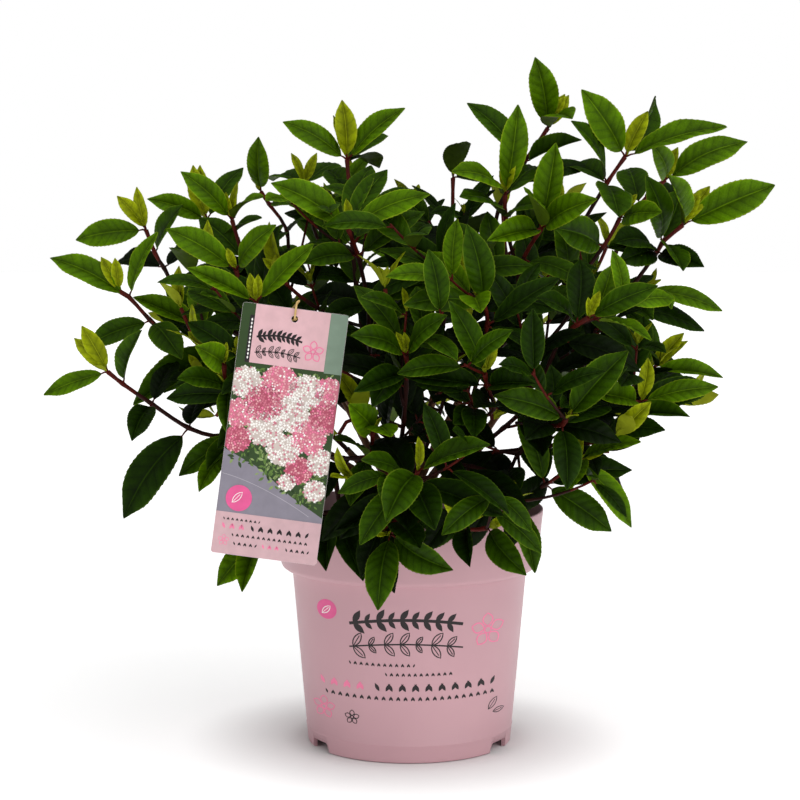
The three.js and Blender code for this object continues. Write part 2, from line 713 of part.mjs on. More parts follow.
function leavesOn(curve, pairs, mass, turned, random) {
  const length = curve.getLength();
  const firstTurn = facingTurn(curve.getTangent(1)) + turned + (random() - 0.5) * TURN_WANDER;
  pairs.forEach((pair, order) => {
    const at = 1 - pair.fromTip / length;
    if (at * length < FIRST_LEAF) {
      return;
    }
    const node = curve.getPointAt(at);
    const along = curve.getTangentAt(at);
    for (let side = 0; side < 2; side += 1) {
      const wander = (random() - 0.5) * TURN_WANDER;
      const lengthen = 0.92 + 0.16 * random();
      const turn = firstTurn + (order * Math.PI) / 2 + side * Math.PI + wander;
      const hang = THREE.MathUtils.clamp((HANG_BELOW - node.z) / HANG_RANGE, 0, 1);
      const droop = mass.droop + HANG * hang + 0.1 * random();
      for (const [shifted, opened, sized] of LEAF_TRIES) {
        const spread = radians(pair.spread + opened);
        const frame = leafFrame(node, along, turn + radians(shifted), spread, pair.rise, droop);
        const size = pair.length * mass.leaf * lengthen * sized;
        const surface = leafSurface(frame, size);
        if (leafSamples(frame, size).every(mass.holds) && !meets(surface, mass.placed, mass.twigEdges)) {
          mass.placed.push(surface);
          mass.pieces.push(leafGeometry(frame, size));
          break;
        }
      }
    }
  });
}

function insideCrown(point) {
  const x = point.x / CROWN_HALF_WIDTH;
  const y = point.y / CROWN_HALF_DEPTH;
  const z = (point.z - CROWN_CENTRE_HEIGHT) / CROWN_HALF_HEIGHT;
  return x * x + y * y + z * z < 1;
}

// Side shoots by a seeded rule: round the stem by the golden angle, leaving it at a spread
// and turning up, each kept only where its whole length lies in the mass's space
function sideShoots(stem, holds, random) {
  const shoots = [];
  for (let order = 0; order < SIDE_SHOOT_TRIES && shoots.length < SIDE_SHOOTS; order += 1) {
    const at = 0.34 + 0.36 * random();
    const start = stem.getPointAt(at);
    const along = stem.getTangentAt(at);
    const turn = radians(order * GOLDEN_ANGLE) + random();
    const spread = radians(SIDE_SHOOT_SPREAD);
    const heading = along.clone().multiplyScalar(Math.cos(spread));
    heading.addScaledVector(square(along, turn), Math.sin(spread));
    const size = SIDE_SHOOT_LENGTH * (0.8 + 0.4 * random());
    const bend = start.clone().addScaledVector(heading, size * 0.6);
    const tip = start.clone().addScaledVector(heading, size).addScaledVector(UP, size * 0.22);
    const curve = new THREE.QuadraticBezierCurve3(start, bend, tip);
    const outer = curve.getSpacedPoints(6).slice(1);
    if (outer.every(holds) && outer.every(insideCrown)) {
      shoots.push(stretched(curve, TWIG_STEPS));
    }
  }
  return shoots;
}

// One mass: its stem, its branches and side shoots, a bud on each and leaves along them
function massGeometry(index) {
  const { stem, seat, branches, turns } = leads[index];
  const holds = spaceOf(index);
  const random = stream(index + 1);
  const sides = sideShoots(stem, holds, random);
  const twigs = [...branches, ...sides];
  const pieces = [
    taperedLimb(stem, STEM_STEPS, TWIG_SIDES, STEM_FOOT_RADIUS, STEM_TIP_RADIUS, BUD, seat),
    ...twigs.map((twig) =>
      taperedLimb(twig, TWIG_STEPS, TWIG_SIDES, TWIG_FOOT_RADIUS, STEM_TIP_RADIUS, BUD),
    ),
  ];
  const twigEdges = [stem, ...twigs].flatMap((curve) => {
    const points = curve.getSpacedPoints(8);
    return points.slice(1).map((point, order) => [points[order], point]);
  });
  const { leaf, droop = 0 } = MASSES[index];
  const mass = { leaf, droop, holds, twigEdges, placed: [], pieces };
  [stem, ...branches].forEach((curve, order) => {
    leavesOn(curve, LEAF_PAIRS, mass, turns[order], random);
  });
  for (const curve of sides) {
    leavesOn(curve, LEAF_PAIRS.slice(0, SIDE_SHOOT_PAIRS), mass, 0, random);
  }
  const joined = wasm.Manifold.union(pieces.map(solidOf));
  const largest = joined.decompose().sort((a, b) => b.volume() - a.volume())[0];
  return geometryOf(largest);
}

// The whole plant in its pot
const plant = new THREE.Group();

function add(name, geometry, kind) {
  const mesh = new THREE.Mesh(geometry, paint(kind));
  mesh.name = name;
  plant.add(mesh);
}

add("pot", potGeometry(), "pot");
add("peat", geometryOf(solidOf(peatGeometry())), "peat");
add("trunk", geometryOf(solidOf(trunkGeometry())), "bark");
for (const bough of BOUGHS) {
  const curve = boughCurves[bough.name];
  const limb = taperedLimb(curve, BOUGH_STEPS, BOUGH_SIDES, BOUGH_FOOT_RADIUS, BOUGH_TIP_RADIUS);
  add(`bough_${bough.name}`, limb, "bark");
}
MASSES.forEach((mass, index) => add(`foliage_${mass.name}`, massGeometry(index), "leaf"));
add("label_card", geometryOf(solidOf(cardGeometry())), "card");
add("label_tie", tieGeometry(), "tie");

export default plant;
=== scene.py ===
import math

import bpy
import numpy as np
from mathutils import Euler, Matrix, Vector
from mathutils.geometry import tessellate_polygon as tessellate


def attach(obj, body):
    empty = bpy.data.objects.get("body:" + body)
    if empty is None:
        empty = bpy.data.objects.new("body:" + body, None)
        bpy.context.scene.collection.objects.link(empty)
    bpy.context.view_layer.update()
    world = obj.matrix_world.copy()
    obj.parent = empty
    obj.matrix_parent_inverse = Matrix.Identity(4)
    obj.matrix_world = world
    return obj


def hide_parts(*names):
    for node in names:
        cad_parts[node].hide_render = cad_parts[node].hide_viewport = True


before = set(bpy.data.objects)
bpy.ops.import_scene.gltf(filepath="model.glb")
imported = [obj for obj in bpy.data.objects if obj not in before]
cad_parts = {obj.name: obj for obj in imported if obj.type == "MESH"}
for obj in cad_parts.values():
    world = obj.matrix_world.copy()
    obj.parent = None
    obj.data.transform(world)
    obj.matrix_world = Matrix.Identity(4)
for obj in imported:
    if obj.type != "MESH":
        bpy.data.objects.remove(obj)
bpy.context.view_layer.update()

# Everything below is worked out in millimetres and turned into metres when a mesh is made
MM = 0.001
UP = np.array([0.0, 0.0, 1.0])
FULL_TURN = 2 * math.pi

# Camera, read from the photograph's perspective: a long lens just above the crown's middle
CAMERA_PLACE = (-0.00806, -1.8516, 0.4873)
CAMERA_PITCH = 5.95
CAMERA_LENS = 97.9
SENSOR_WIDTH = 36.0


def linked(name, data):
    """A new object of the scene that holds a mesh, a light or the camera."""
    thing = bpy.data.objects.new(name, data)
    bpy.context.scene.collection.objects.link(thing)
    return thing


camera_data = bpy.data.cameras.new("camera")
camera_data.lens = CAMERA_LENS
camera_data.sensor_width = SENSOR_WIDTH
camera = linked("camera", camera_data)
camera.location = CAMERA_PLACE
camera.rotation_euler = Euler((math.radians(90 - CAMERA_PITCH), 0, 0))
bpy.context.scene.camera = camera

# Sizes that the scene shares with the part's source
POT_HEIGHT = 202.0
RIM_RADIUS = 115.0
COLLAR_FOOT = 151.6
COLLAR_FOOT_RADIUS = 110.4
COLLAR_CORNER = 5.0
BODY_TOP_RADIUS = 100.7
BASE_RADIUS = 87.7
WALL = 2.1
CHANNEL_HEIGHT = 9.5
CHANNEL_WIDTH = 10.5
FOOT_RING = 3.6
FLOOR = 3.0
NOTCH_BEARINGS = (60, 180, 300)
NOTCH_WIDTH = 27.0
NOTCH_HEIGHT = 8.5
NOTCH_OUT = 6
NOTCH_IN = 9
PEAT_LEVEL = 188.0
GAP = 0.3
DOME_RADIUS = 17.0
DOME_HEIGHT = 16.0
BOUGH_FOOT_RADIUS = 4.0
BOUGH_TIP_RADIUS = 2.5
BOUGH_SHARE = 0.44
BOUGH_EASE = 0.35
OUTER_RISE = 32
INNER_RISE = 66
FORK_STEP = 9.0
FORK_LIFT = 12
FORK_OVER_POT = 32
FORK_RISE = 0.25
LIMB_MARKS = 24
STEM_FOOT_RADIUS = 2.0
TWIG_FOOT_RADIUS = 1.5
STEM_STAND_OFF = 0.8
FIRST_BRANCH_AT = 0.3
BRANCH_STEP = 0.16
RISING_BEND = np.array([0.68, 0.68, 0.33])
FALLING_BEND = 0.85
FALLING_LIFT = 18.0
SHOOT_MARKS = 14
CARD_WIDTH = 81.0
CARD_HEIGHT = 192.0
CARD_THICKNESS = 0.8
CARD_TOP = np.array([-87.0, -200.0, 385.0])
CARD_LEAN = 7.5
CARD_PITCH = 5.0
HOLE_DEPTH = 8.0
HOLE_RADIUS = 2.6
TIE_RADIUS = 0.8
TIE_AT = 0.86

# Leaf pairs from a shoot's tip inwards: distance, length, angle to the shoot, least rise
LEAF_PAIRS = [
    (8, 71, 55, 0.26),
    (38, 74, 58, 0.0),
    (74, 76, 66, -0.15),
    (108, 76, 72, -0.25),
    (142, 74, 76, -0.25),
]
SIDE_SHOOT_PAIRS = 3
LEAF_WIDTH = 0.52
LEAF_WIDEST = 0.44
LEAF_FOLD = 0.3
LEAF_ARCH = 0.06
LEAF_TIP_DROP = 0.08
LEAF_NECK = 5.0
LEAF_LEAN = 0.35
FIRST_LEAF = 16.0
TURN_WANDER = 0.4
HANG_BELOW = 280.0
HANG_RANGE = 60.0
HANG = 1.3
LIGHT = np.array([0.0, -0.7, 0.7])
SIDE_SHOOT_TRIES = 12
SIDE_SHOOT_FROM = 0.34
SIDE_SHOOT_RANGE = 0.36
SIDE_SHOOT_LENGTH = 88.0
SIDE_SHOOT_SPREAD = 44.0
SIDE_SHOOT_RISE = 0.22
SHORT_SHOOT_BEND = 0.6
GOLDEN_ANGLE = 137.5
CROWN_CENTRE_HEIGHT = 300.0
CROWN_HALF = np.array([225.0, 215.0, 190.0])
SPACE_MARGIN = 1.6
LIMB_MARGIN = 5.0
POT_MARGIN = 4.0
CARD_MARGIN = 7.0
CARD_ABOVE = 6
CARD_BEFORE = 60

# Sizes that are the scene's own: twigs a little stouter at the tip, more room round the tie
STEM_TIP_RADIUS = 1.6
TIE_MARGIN = 4.8

# Boughs: bearing and how steeply they leave the trunk
BOUGHS = {
    "left_low": (-96, OUTER_RISE),
    "front_left": (-50, OUTER_RISE),
    "front": (-8, OUTER_RISE),
    "front_right": (30, OUTER_RISE),
    "right_front": (66, OUTER_RISE),
    "right": (102, OUTER_RISE),
    "back_right": (140, OUTER_RISE),
    "back": (180, OUTER_RISE),
    "back_left": (-140, OUTER_RISE),
    "left_high": (-118, INNER_RISE),
    "centre_left": (-28, INNER_RISE),
    "right_top": (62, INNER_RISE),
    "centre_right": (152, INNER_RISE),
}

# Masses: name, bough, leaf size, droop, tips as bearing, reach, height and turn
MASSES = [
    ("left_reach", "left_low", 0.84, 0.35, [(-75, 262, 322), (-80, 184, 240)]),
    ("left_side", "left_low", 0.95, 0, [(-86, 244, 404), (-92, 200, 336)]),
    ("left_high", "left_high", 0.95, 0, [(-100, 226, 436), (-106, 184, 450)]),
    ("left_inner", "left_high", 0.9, 0, [(-90, 150, 450), (-119, 143, 474, 70)]),
    ("top_left", "centre_left", 0.95, 0, [(-110, 60, 510), (-140, 130, 476)]),
    ("front_left_high", "centre_left", 0.95, 0, [(-22, 130, 446), (-47, 192, 410)]),
    ("front_left", "front_left", 0.9, 0, [(-37, 205, 388), (-38, 235, 336)]),
    ("front_left_low", "front_left", 1, 0, [(-56, 152, 218), (-26, 176, 272)]),
    ("front_mid", "front", 1, 0, [(-1, 195, 350), (-12, 172, 300), (-24, 140, 280)]),
    ("front_low", "front", 1.1, 0, [(1, 225, 276), (-7, 170, 226)]),
    ("front_right_mid", "front_right", 1.05, 0, [(17, 193, 386), (15, 213, 330), (30, 132, 290)]),
    ("front_right_low", "front_right", 1, 0, [(21, 171, 230), (42, 168, 240)]),
    ("right_front", "right_front", 1, 0, [(39, 213, 374), (34, 223, 298), (44, 136, 296)]),
    ("right_front_low", "right_front", 1, 0, [(63, 206, 306), (50, 184, 258)]),
    ("right_front_high", "right_top", 1.05, 0, [(43, 156, 446), (71, 181, 448)]),
    ("right_top", "right_top", 1.15, 0, [(84, 178, 510), (62, 86, 474, 70)]),
    ("right_high", "right", 1.1, 0, [(88, 232, 456), (105, 236, 496)]),
    ("right_side", "right", 0.95, 0, [(82, 206, 328), (100, 205, 372)]),
    ("top_right", "centre_right", 1.05, 0, [(95, 115, 546, 60), (120, 150, 450)]),
    ("top_back", "centre_right", 1, 0, [(142, 76, 468), (-170, 110, 440)]),
    ("centre", "trunk", 1, 0, [(20, 130, 400), (-170, 74, 340), (-84, 70, 330), (118, 84, 350)]),
    ("back_right_high", "back_right", 1, 0, [(126, 222, 420), (150, 172, 450)]),
    ("back_right_low", "back_right", 1, 0, [(148, 222, 336), (122, 204, 272)]),
    ("back_mid", "back", 1, 0, [(180, 226, 382), (176, 200, 266)]),
    ("back_left_high", "back_left", 1, 0, [(-128, 222, 410), (-156, 178, 446)]),
    ("back_left_low", "back_left", 1, 0, [(-152, 228, 334), (-122, 206, 268)]),
]
FOLIAGE = [f"foliage_{mass[0]}" for mass in MASSES]


def unit(vector):
    return vector / np.linalg.norm(vector)


def unit_rows(rows):
    return rows / np.maximum(np.linalg.norm(rows, axis=1), 1e-9)[:, None]


def stream(seed):
    """A seeded stream of numbers from 0 to 1."""
    state = (seed * 7919 + 104729) % 2147483647

    def following():
        nonlocal state
        state = (state * 16807) % 2147483647
        return state / 2147483647

    return following


def place(tip):
    angle = math.radians(tip[0])
    return np.array([math.sin(angle) * tip[1], -math.cos(angle) * tip[1], float(tip[2])])


def square(direction, angle):
    """A direction square to a stem, turned round it by an angle."""
    reference = np.array([1.0, 0.0, 0.0]) if abs(direction[2]) > 0.9 else UP
    first = unit(np.cross(direction, reference))
    second = np.cross(direction, first)
    return first * math.cos(angle) + second * math.sin(angle)


def bezier(controls, count):
    """Points of the curve that its controls draw from the first to the last."""
    controls = np.array(controls, float)
    share = np.linspace(0, 1, count)[:, None]
    degree = len(controls) - 1
    return sum(
        math.comb(degree, k) * (1 - share) ** (degree - k) * share**k * controls[k]
        for k in range(degree + 1)
    )


def spline_point(a, b, c, d, t):
    return 0.5 * (
        2 * b + (c - a) * t + (2 * a - 5 * b + 4 * c - d) * t**2 + (3 * b - a - 3 * c + d) * t**3
    )


def smooth(marks, shares):
    """A smooth curve from the second mark to the last but one, at shares of every stretch."""
    runs = zip(marks, marks[1:], marks[2:], marks[3:])
    return np.array([spline_point(*run, t) for run in runs for t in shares])


def loop_through(marks, per_stretch):
    """A closed smooth curve through marks."""
    return smooth([marks[-1], *marks, *marks[:2]], np.arange(per_stretch) / per_stretch)


class Path:
    """A smooth curve walked by its length."""

    STEPS = 120
    STRETCH = np.arange(0, 1, 0.05)

    def __init__(self, *controls, points=None):
        self.points = bezier(controls, self.STEPS + 1) if points is None else points
        steps = np.linalg.norm(np.diff(self.points, axis=0), axis=1)
        self.lengths = np.concatenate([[0], np.cumsum(steps)])
        self.length = self.lengths[-1]

    @classmethod
    def through(cls, marks):
        """The curve that passes through marks."""
        marks = [np.array(mark, float) for mark in marks]
        padded = [2 * marks[0] - marks[1], *marks, 2 * marks[-1] - marks[-2]]
        return cls(points=np.array([*smooth(padded, cls.STRETCH), marks[-1]]))

    def up_to(self, share):
        """The path from its start to a share of its length."""
        return Path.through([self.at(share * part) for part in (0, 0.25, 0.5, 0.75, 1)])

    def share_near(self, mark):
        """Where the curve passes nearest a mark."""
        index = np.linalg.norm(self.points - mark, axis=1).argmin()
        return self.lengths[index] / self.length

    def at(self, share):
        distance = share * self.length
        return np.array([np.interp(distance, self.lengths, self.points[:, k]) for k in range(3)])

    def along(self, share):
        low = max(0.0, share - 0.01)
        high = min(1.0, share + 0.01)
        return unit(self.at(high) - self.at(low))

    def spaced(self, count):
        return np.array([self.at(share) for share in np.linspace(0, 1, count + 1)])


TRUNK_FOOT = PEAT_LEVEL + GAP
TRUNK_CENTRE = np.array([0.0, 0.0, TRUNK_FOOT + DOME_HEIGHT])


def bough_path(name):
    bearing, rise_angle = BOUGHS[name]
    tips = [place(tip) for mass in MASSES if mass[1] == name for tip in mass[4]]
    middle = np.mean(tips, axis=0)
    fork = TRUNK_CENTRE + (middle - TRUNK_CENTRE) * BOUGH_SHARE
    fork[2] = max(fork[2] + FORK_LIFT, POT_HEIGHT + FORK_OVER_POT)
    rise = math.radians(rise_angle)
    heading = place((bearing, math.cos(rise), math.sin(rise)))
    foot = TRUNK_CENTRE + heading * (DOME_RADIUS + GAP)
    ease = np.linalg.norm(fork - foot)
    arrival = unit(unit(middle - fork) * (1 - FORK_RISE) + UP * FORK_RISE)
    return Path(foot, foot + heading * ease * BOUGH_EASE, fork - arrival * ease * BOUGH_EASE, fork)


def shoot_path(start, tip):
    reach = tip - start
    if reach[2] > 0:
        bend = start + reach * RISING_BEND
    else:
        bend = start + np.array([reach[0] * FALLING_BEND, reach[1] * FALLING_BEND, FALLING_LIFT])
    return Path(start, bend, tip)


bough_paths = {name: bough_path(name) for name in BOUGHS}


def stem_start(bough, order, tip):
    """Where a mass's stem starts, on the trunk's knuckle, its bough's tip or its side."""
    if bough == "trunk":
        return TRUNK_CENTRE + UP * (DOME_RADIUS + GAP)
    path = bough_paths[bough]
    share = 1 - order * FORK_STEP / path.length
    point = path.at(share)
    along = path.along(share)
    if order == 0:
        return point + along * GAP
    away = tip - point
    away = unit(away - along * away.dot(along))
    radius = BOUGH_FOOT_RADIUS + (BOUGH_TIP_RADIUS - BOUGH_FOOT_RADIUS) * share
    return point + away * (radius + STEM_FOOT_RADIUS * STEM_STAND_OFF + GAP)


def leading_shoots():
    orders = {}
    leads = []
    for _, bough, _, _, tips in MASSES:
        order = orders.get(bough, 0)
        orders[bough] = order + 1
        first = place(tips[0])
        stem = shoot_path(stem_start(bough, order, first), first)
        branches = [
            shoot_path(stem.at(FIRST_BRANCH_AT + index * BRANCH_STEP), place(tip))
            for index, tip in enumerate(tips[1:])
        ]
        marks = np.concatenate([path.spaced(SHOOT_MARKS) for path in [stem, *branches]])
        turns = [math.radians(tip[3]) if len(tip) > 3 else 0.0 for tip in tips]
        leads.append({"paths": [stem, *branches], "marks": marks, "turns": turns})
    return leads


leads = leading_shoots()
limb_points = np.concatenate([path.spaced(LIMB_MARKS) for path in bough_paths.values()])
limb_radii = np.linspace(BOUGH_FOOT_RADIUS, BOUGH_TIP_RADIUS, LIMB_MARKS + 1)
limb_radii = np.tile(limb_radii, len(bough_paths))


def turn_x(degrees):
    c, s = math.cos(math.radians(degrees)), math.sin(math.radians(degrees))
    return np.array([[1, 0, 0], [0, c, -s], [0, s, c]])


def turn_z(degrees):
    c, s = math.cos(math.radians(degrees)), math.sin(math.radians(degrees))
    return np.array([[c, -s, 0], [s, c, 0], [0, 0, 1]])


CARD_TURN = turn_x(90 - CARD_PITCH) @ turn_z(-CARD_LEAN)


def on_card(x, y, z=0.0):
    """A point given on the card's own face: x to the right, y up from its top edge."""
    return CARD_TOP + CARD_TURN @ np.array([x, y, z], float)


def tie_marks():
    """The tie's way from the hole, round the twig and over the card's top edge."""
    stem = leads[[mass[0] for mass in MASSES].index("front_left")]["paths"][0]
    twig = stem.at(TIE_AT)
    along = stem.along(TIE_AT)
    hole = on_card(0, -HOLE_DEPTH)
    toward = hole - twig
    toward = unit(toward - along * toward.dot(along))
    aside = np.cross(along, toward)
    loop = [(8, -3.6), (0, -3.6), (-3.2, 0), (0, 3.6), (8, 3.6)]
    return [
        hole,
        on_card(0, -HOLE_DEPTH, -7),
        *[twig + toward * a + aside * b for a, b in loop],
        on_card(0, 4, -6),
        on_card(0, 4.5, 0),
        on_card(0, -1.5, 3.2),
    ]


tie_path = loop_through(tie_marks(), 10)


def near_pot(points, margin):
    inside = np.hypot(points[:, 0], points[:, 1]) < RIM_RADIUS + margin
    return inside & (points[:, 2] < POT_HEIGHT + margin)


def near_card(points, margin):
    local = (points - CARD_TOP) @ CARD_TURN
    beside = np.abs(local[:, 0]) < CARD_WIDTH / 2 + margin
    level = (local[:, 1] < CARD_ABOVE + margin) & (local[:, 1] > -CARD_HEIGHT - margin)
    return beside & level & (local[:, 2] > -margin) & (local[:, 2] < CARD_BEFORE)


def nearest(points, marks):
    gaps = points[:, None, :] - marks[None, :, :]
    return np.sqrt((gaps**2).sum(axis=2)).min(axis=1)


def blocked(points):
    """Whether points lie in the pot, the label, its tie or a bough."""
    limbs = np.linalg.norm(points[:, None] - limb_points[None], axis=2) < limb_radii + LIMB_MARGIN
    return (
        near_pot(points, POT_MARGIN)
        | near_card(points, CARD_MARGIN)
        | limbs.any(axis=1)
        | (nearest(points, tie_path) < TIE_MARGIN)
    )


def own_space(index):
    own = leads[index]["marks"]
    others = np.concatenate([lead["marks"] for k, lead in enumerate(leads) if k != index])

    def holds(points):
        points = np.asarray(points)
        outside = nearest(points, own) + 2 * SPACE_MARGIN > nearest(points, others)
        return not (outside | blocked(points)).any()

    return holds


# Leaves as frames: a node, a direction, a face and a width direction
def leaf_axes(node, forward, normal):
    return {"node": node, "forward": forward, "normal": normal, "aside": np.cross(normal, forward)}


def leaf_frame(node, along, turn, spread, rise, droop):
    out = square(along, turn)
    forward = along * math.cos(spread) + out * math.sin(spread)
    forward[2] = max(forward[2], rise)
    forward = unit(forward - UP * droop)
    normal = LIGHT + along * LEAF_LEAN
    return leaf_axes(node, forward, unit(normal - forward * normal.dot(forward)))


def leaf_points(leaf, length, table):
    """Points of a leaf from rows of along, aside and lift as shares of its length."""
    table = np.asarray(table, float) * length
    axes = np.array([leaf["forward"], leaf["aside"], leaf["normal"]])
    return leaf["node"] + table @ axes


def sample_table():
    rows = []
    for at in (0.25, 0.45, 0.65, 0.85, 1.0):
        half = LEAF_WIDTH / 2 * min(at / LEAF_WIDEST, (1 - at) / (1 - LEAF_WIDEST))
        lift = LEAF_ARCH * math.sin(math.pi * at) - LEAF_TIP_DROP * at * at
        rows += [(at, 0, lift), (at, half, lift + half * LEAF_FOLD), (at, -half, lift + half * LEAF_FOLD)]
    return np.array(rows)


SAMPLES = sample_table()
HALF = LEAF_WIDTH / 2
SIDE_LIFT = LEAF_ARCH * 0.7 + HALF * LEAF_FOLD
# Corners in the order neck, left, tip, right, crest
CORNERS = np.array([
    (0, 0, 0.01),
    (LEAF_WIDEST, HALF, SIDE_LIFT),
    (1, 0, -LEAF_TIP_DROP),
    (LEAF_WIDEST, -HALF, SIDE_LIFT),
    (LEAF_WIDEST * 0.85, 0, LEAF_ARCH),
])
EDGE_ENDS = np.array([(0, 1), (1, 2), (2, 3), (3, 0), (0, 4), (4, 2)])
FACE_CORNERS = np.array([(0, 1, 4), (1, 2, 4), (2, 3, 4), (3, 0, 4)])


def leaf_surface(leaf, length):
    table = CORNERS.copy()
    table[0, 0] = LEAF_NECK / length
    corners = leaf_points(leaf, length, table)
    return {"middle": corners[4], "edges": corners[EDGE_ENDS], "faces": corners[FACE_CORNERS]}


def any_crossing(edges, faces):
    """Whether any straight edge passes through any triangle."""
    if not len(edges) or not len(faces):
        return False
    start = edges[:, None, 0]
    ray = edges[:, None, 1] - start
    a = faces[None, :, 0]
    ab = faces[None, :, 1] - a
    ac = faces[None, :, 2] - a
    p = np.cross(ray, ac)
    det = (ab * p).sum(-1)
    safe = np.where(np.abs(det) < 1e-9, 1.0, det)
    t = start - a
    u = (t * p).sum(-1) / safe
    q = np.cross(t, ab)
    v = (ray * q).sum(-1) / safe
    w = (ac * q).sum(-1) / safe
    hit = (np.abs(det) > 1e-9) & (u >= 0) & (v >= 0) & (u + v <= 1) & (w >= 0) & (w <= 1)
    return bool(hit.any())


def stretches(path, count):
    """A path as straight stretches, each with its two ends."""
    points = path.spaced(count)
    return np.stack([points[:-1], points[1:]], axis=1)


class Thicket:
    """The leaves and twigs placed so far, for the test that a new one crosses none."""

    LEAF_REACH = 90
    TWIG_REACH = 110

    def __init__(self):
        self.middles = np.zeros((0, 3))
        self.edges = np.zeros((0, 6, 2, 3))
        self.faces = np.zeros((0, 4, 3, 3))
        self.twigs = np.zeros((0, 2, 3))

    def add_twig(self, path):
        self.twigs = np.concatenate([self.twigs, stretches(path, 8)])

    def add_leaf(self, surface):
        self.middles = np.concatenate([self.middles, surface["middle"][None]])
        self.edges = np.concatenate([self.edges, surface["edges"][None]])
        self.faces = np.concatenate([self.faces, surface["faces"][None]])

    def meets(self, surface):
        gaps = np.linalg.norm(self.twigs.mean(axis=1) - surface["middle"], axis=1)
        if any_crossing(self.twigs[gaps < self.TWIG_REACH], surface["faces"]):
            return True
        near = np.linalg.norm(self.middles - surface["middle"], axis=1) < self.LEAF_REACH
        if any_crossing(surface["edges"], self.faces[near].reshape(-1, 3, 3)):
            return True
        return any_crossing(self.edges[near].reshape(-1, 2, 3), surface["faces"])

    def twig_meets(self, path):
        middle = path.spaced(5).mean(axis=0)
        near = np.linalg.norm(self.middles - middle, axis=1) < self.TWIG_REACH
        return any_crossing(stretches(path, 5)[1:], self.faces[near].reshape(-1, 3, 3))


# Ways to set a leaf, each tried where the ones before don't fit: turn, spread and size
LEAF_TRIES = [(0, 0, 1), (0, -14, 1), (0, 14, 1), (18, 0, 0.94), (-18, 0, 0.94), (0, -22, 0.85),
              (28, -10, 0.8), (-28, -10, 0.8), (0, -30, 0.72)]
FINE_TRIES = [(0, 0, 1), (25, -10, 0.92), (-25, -10, 0.92), (0, -25, 0.84), (40, 10, 0.8),
              (-40, 10, 0.8)]


def facing_turn(along):
    return math.atan2(square(along, math.pi / 2)[0], square(along, 0)[0])


def inside_crown(points, grown=1.0):
    shares = (np.asarray(points) - [0, 0, CROWN_CENTRE_HEIGHT]) / (CROWN_HALF * grown)
    return bool(((shares**2).sum(axis=1) < 1).all())


def short_shoot(start, heading, size, rise):
    """A shoot that sets out along its heading and rises to its tip."""
    tip = start + heading * size + UP * size * rise
    return Path(start, start + heading * size * SHORT_SHOOT_BEND, tip)


def side_shoots(stem, holds, random):
    """The source's seeded side shoot of a mass."""
    for order in range(SIDE_SHOOT_TRIES):
        at = SIDE_SHOOT_FROM + SIDE_SHOOT_RANGE * random()
        start = stem.at(at)
        along = stem.along(at)
        turn = math.radians(order * GOLDEN_ANGLE) + random()
        spread = math.radians(SIDE_SHOOT_SPREAD)
        heading = along * math.cos(spread) + square(along, turn) * math.sin(spread)
        size = SIDE_SHOOT_LENGTH * (0.8 + 0.4 * random())
        path = short_shoot(start, heading, size, SIDE_SHOOT_RISE)
        outer = path.spaced(6)[1:]
        if holds(outer) and inside_crown(outer):
            return [path]
    return []


# How leaves sit on the source's shoots and on the finer ones
SOURCE_HABIT = {"first_leaf": FIRST_LEAF, "shortest": 0.92, "longer": 0.16, "loose": True,
                "tries": LEAF_TRIES}
FINE_HABIT = {"first_leaf": 8.0, "shortest": 0.86, "longer": 0.28, "loose": False,
              "tries": FINE_TRIES, "size": 1.0, "droop": 0.0}


def set_leaves(spray, pairs, first_turn, habit, fits, thicket, random):
    """Leaf pairs along a shoot, each leaf set the first way that fits. Returns their nodes."""
    path = spray["path"]
    nodes = []
    for order, (from_tip, pair_length, pair_spread, rise) in enumerate(pairs):
        at = 1 - from_tip / path.length
        if at * path.length < habit["first_leaf"]:
            continue
        node, along = path.at(at), path.along(at)
        pair_turn = first_turn + order * math.pi / 2
        nodes.append((at, along, pair_turn))
        hang = HANG * min(max((HANG_BELOW - node[2]) / HANG_RANGE, 0), 1)
        for side in range(2):
            turn = pair_turn + side * math.pi + (random() - 0.5) * TURN_WANDER
            lengthen = habit["shortest"] + habit["longer"] * random()
            droop = habit["droop"] + hang + 0.1 * (random() if habit["loose"] else 1)
            for shifted, opened, sized in habit["tries"]:
                spread = math.radians(pair_spread + opened)
                leaf = leaf_frame(node, along, turn + math.radians(shifted), spread, rise, droop)
                length = pair_length * habit["size"] * lengthen * sized
                surface = leaf_surface(leaf, length)
                if fits(leaf_points(leaf, length, SAMPLES)) and not thicket.meets(surface):
                    thicket.add_leaf(surface)
                    spray["leaves"].append((leaf, length))
                    break
    return nodes


def new_spray(path, foot_radius, tip_radius):
    radii = (foot_radius, tip_radius)
    return {"path": path, "radii": radii, "nodes": [], "leaves": [], "fitted": [], "young": 1.0}


# How far below the nodes that are seen in the picture a shoot's own pairs end
PAIR_CLEAR = 12


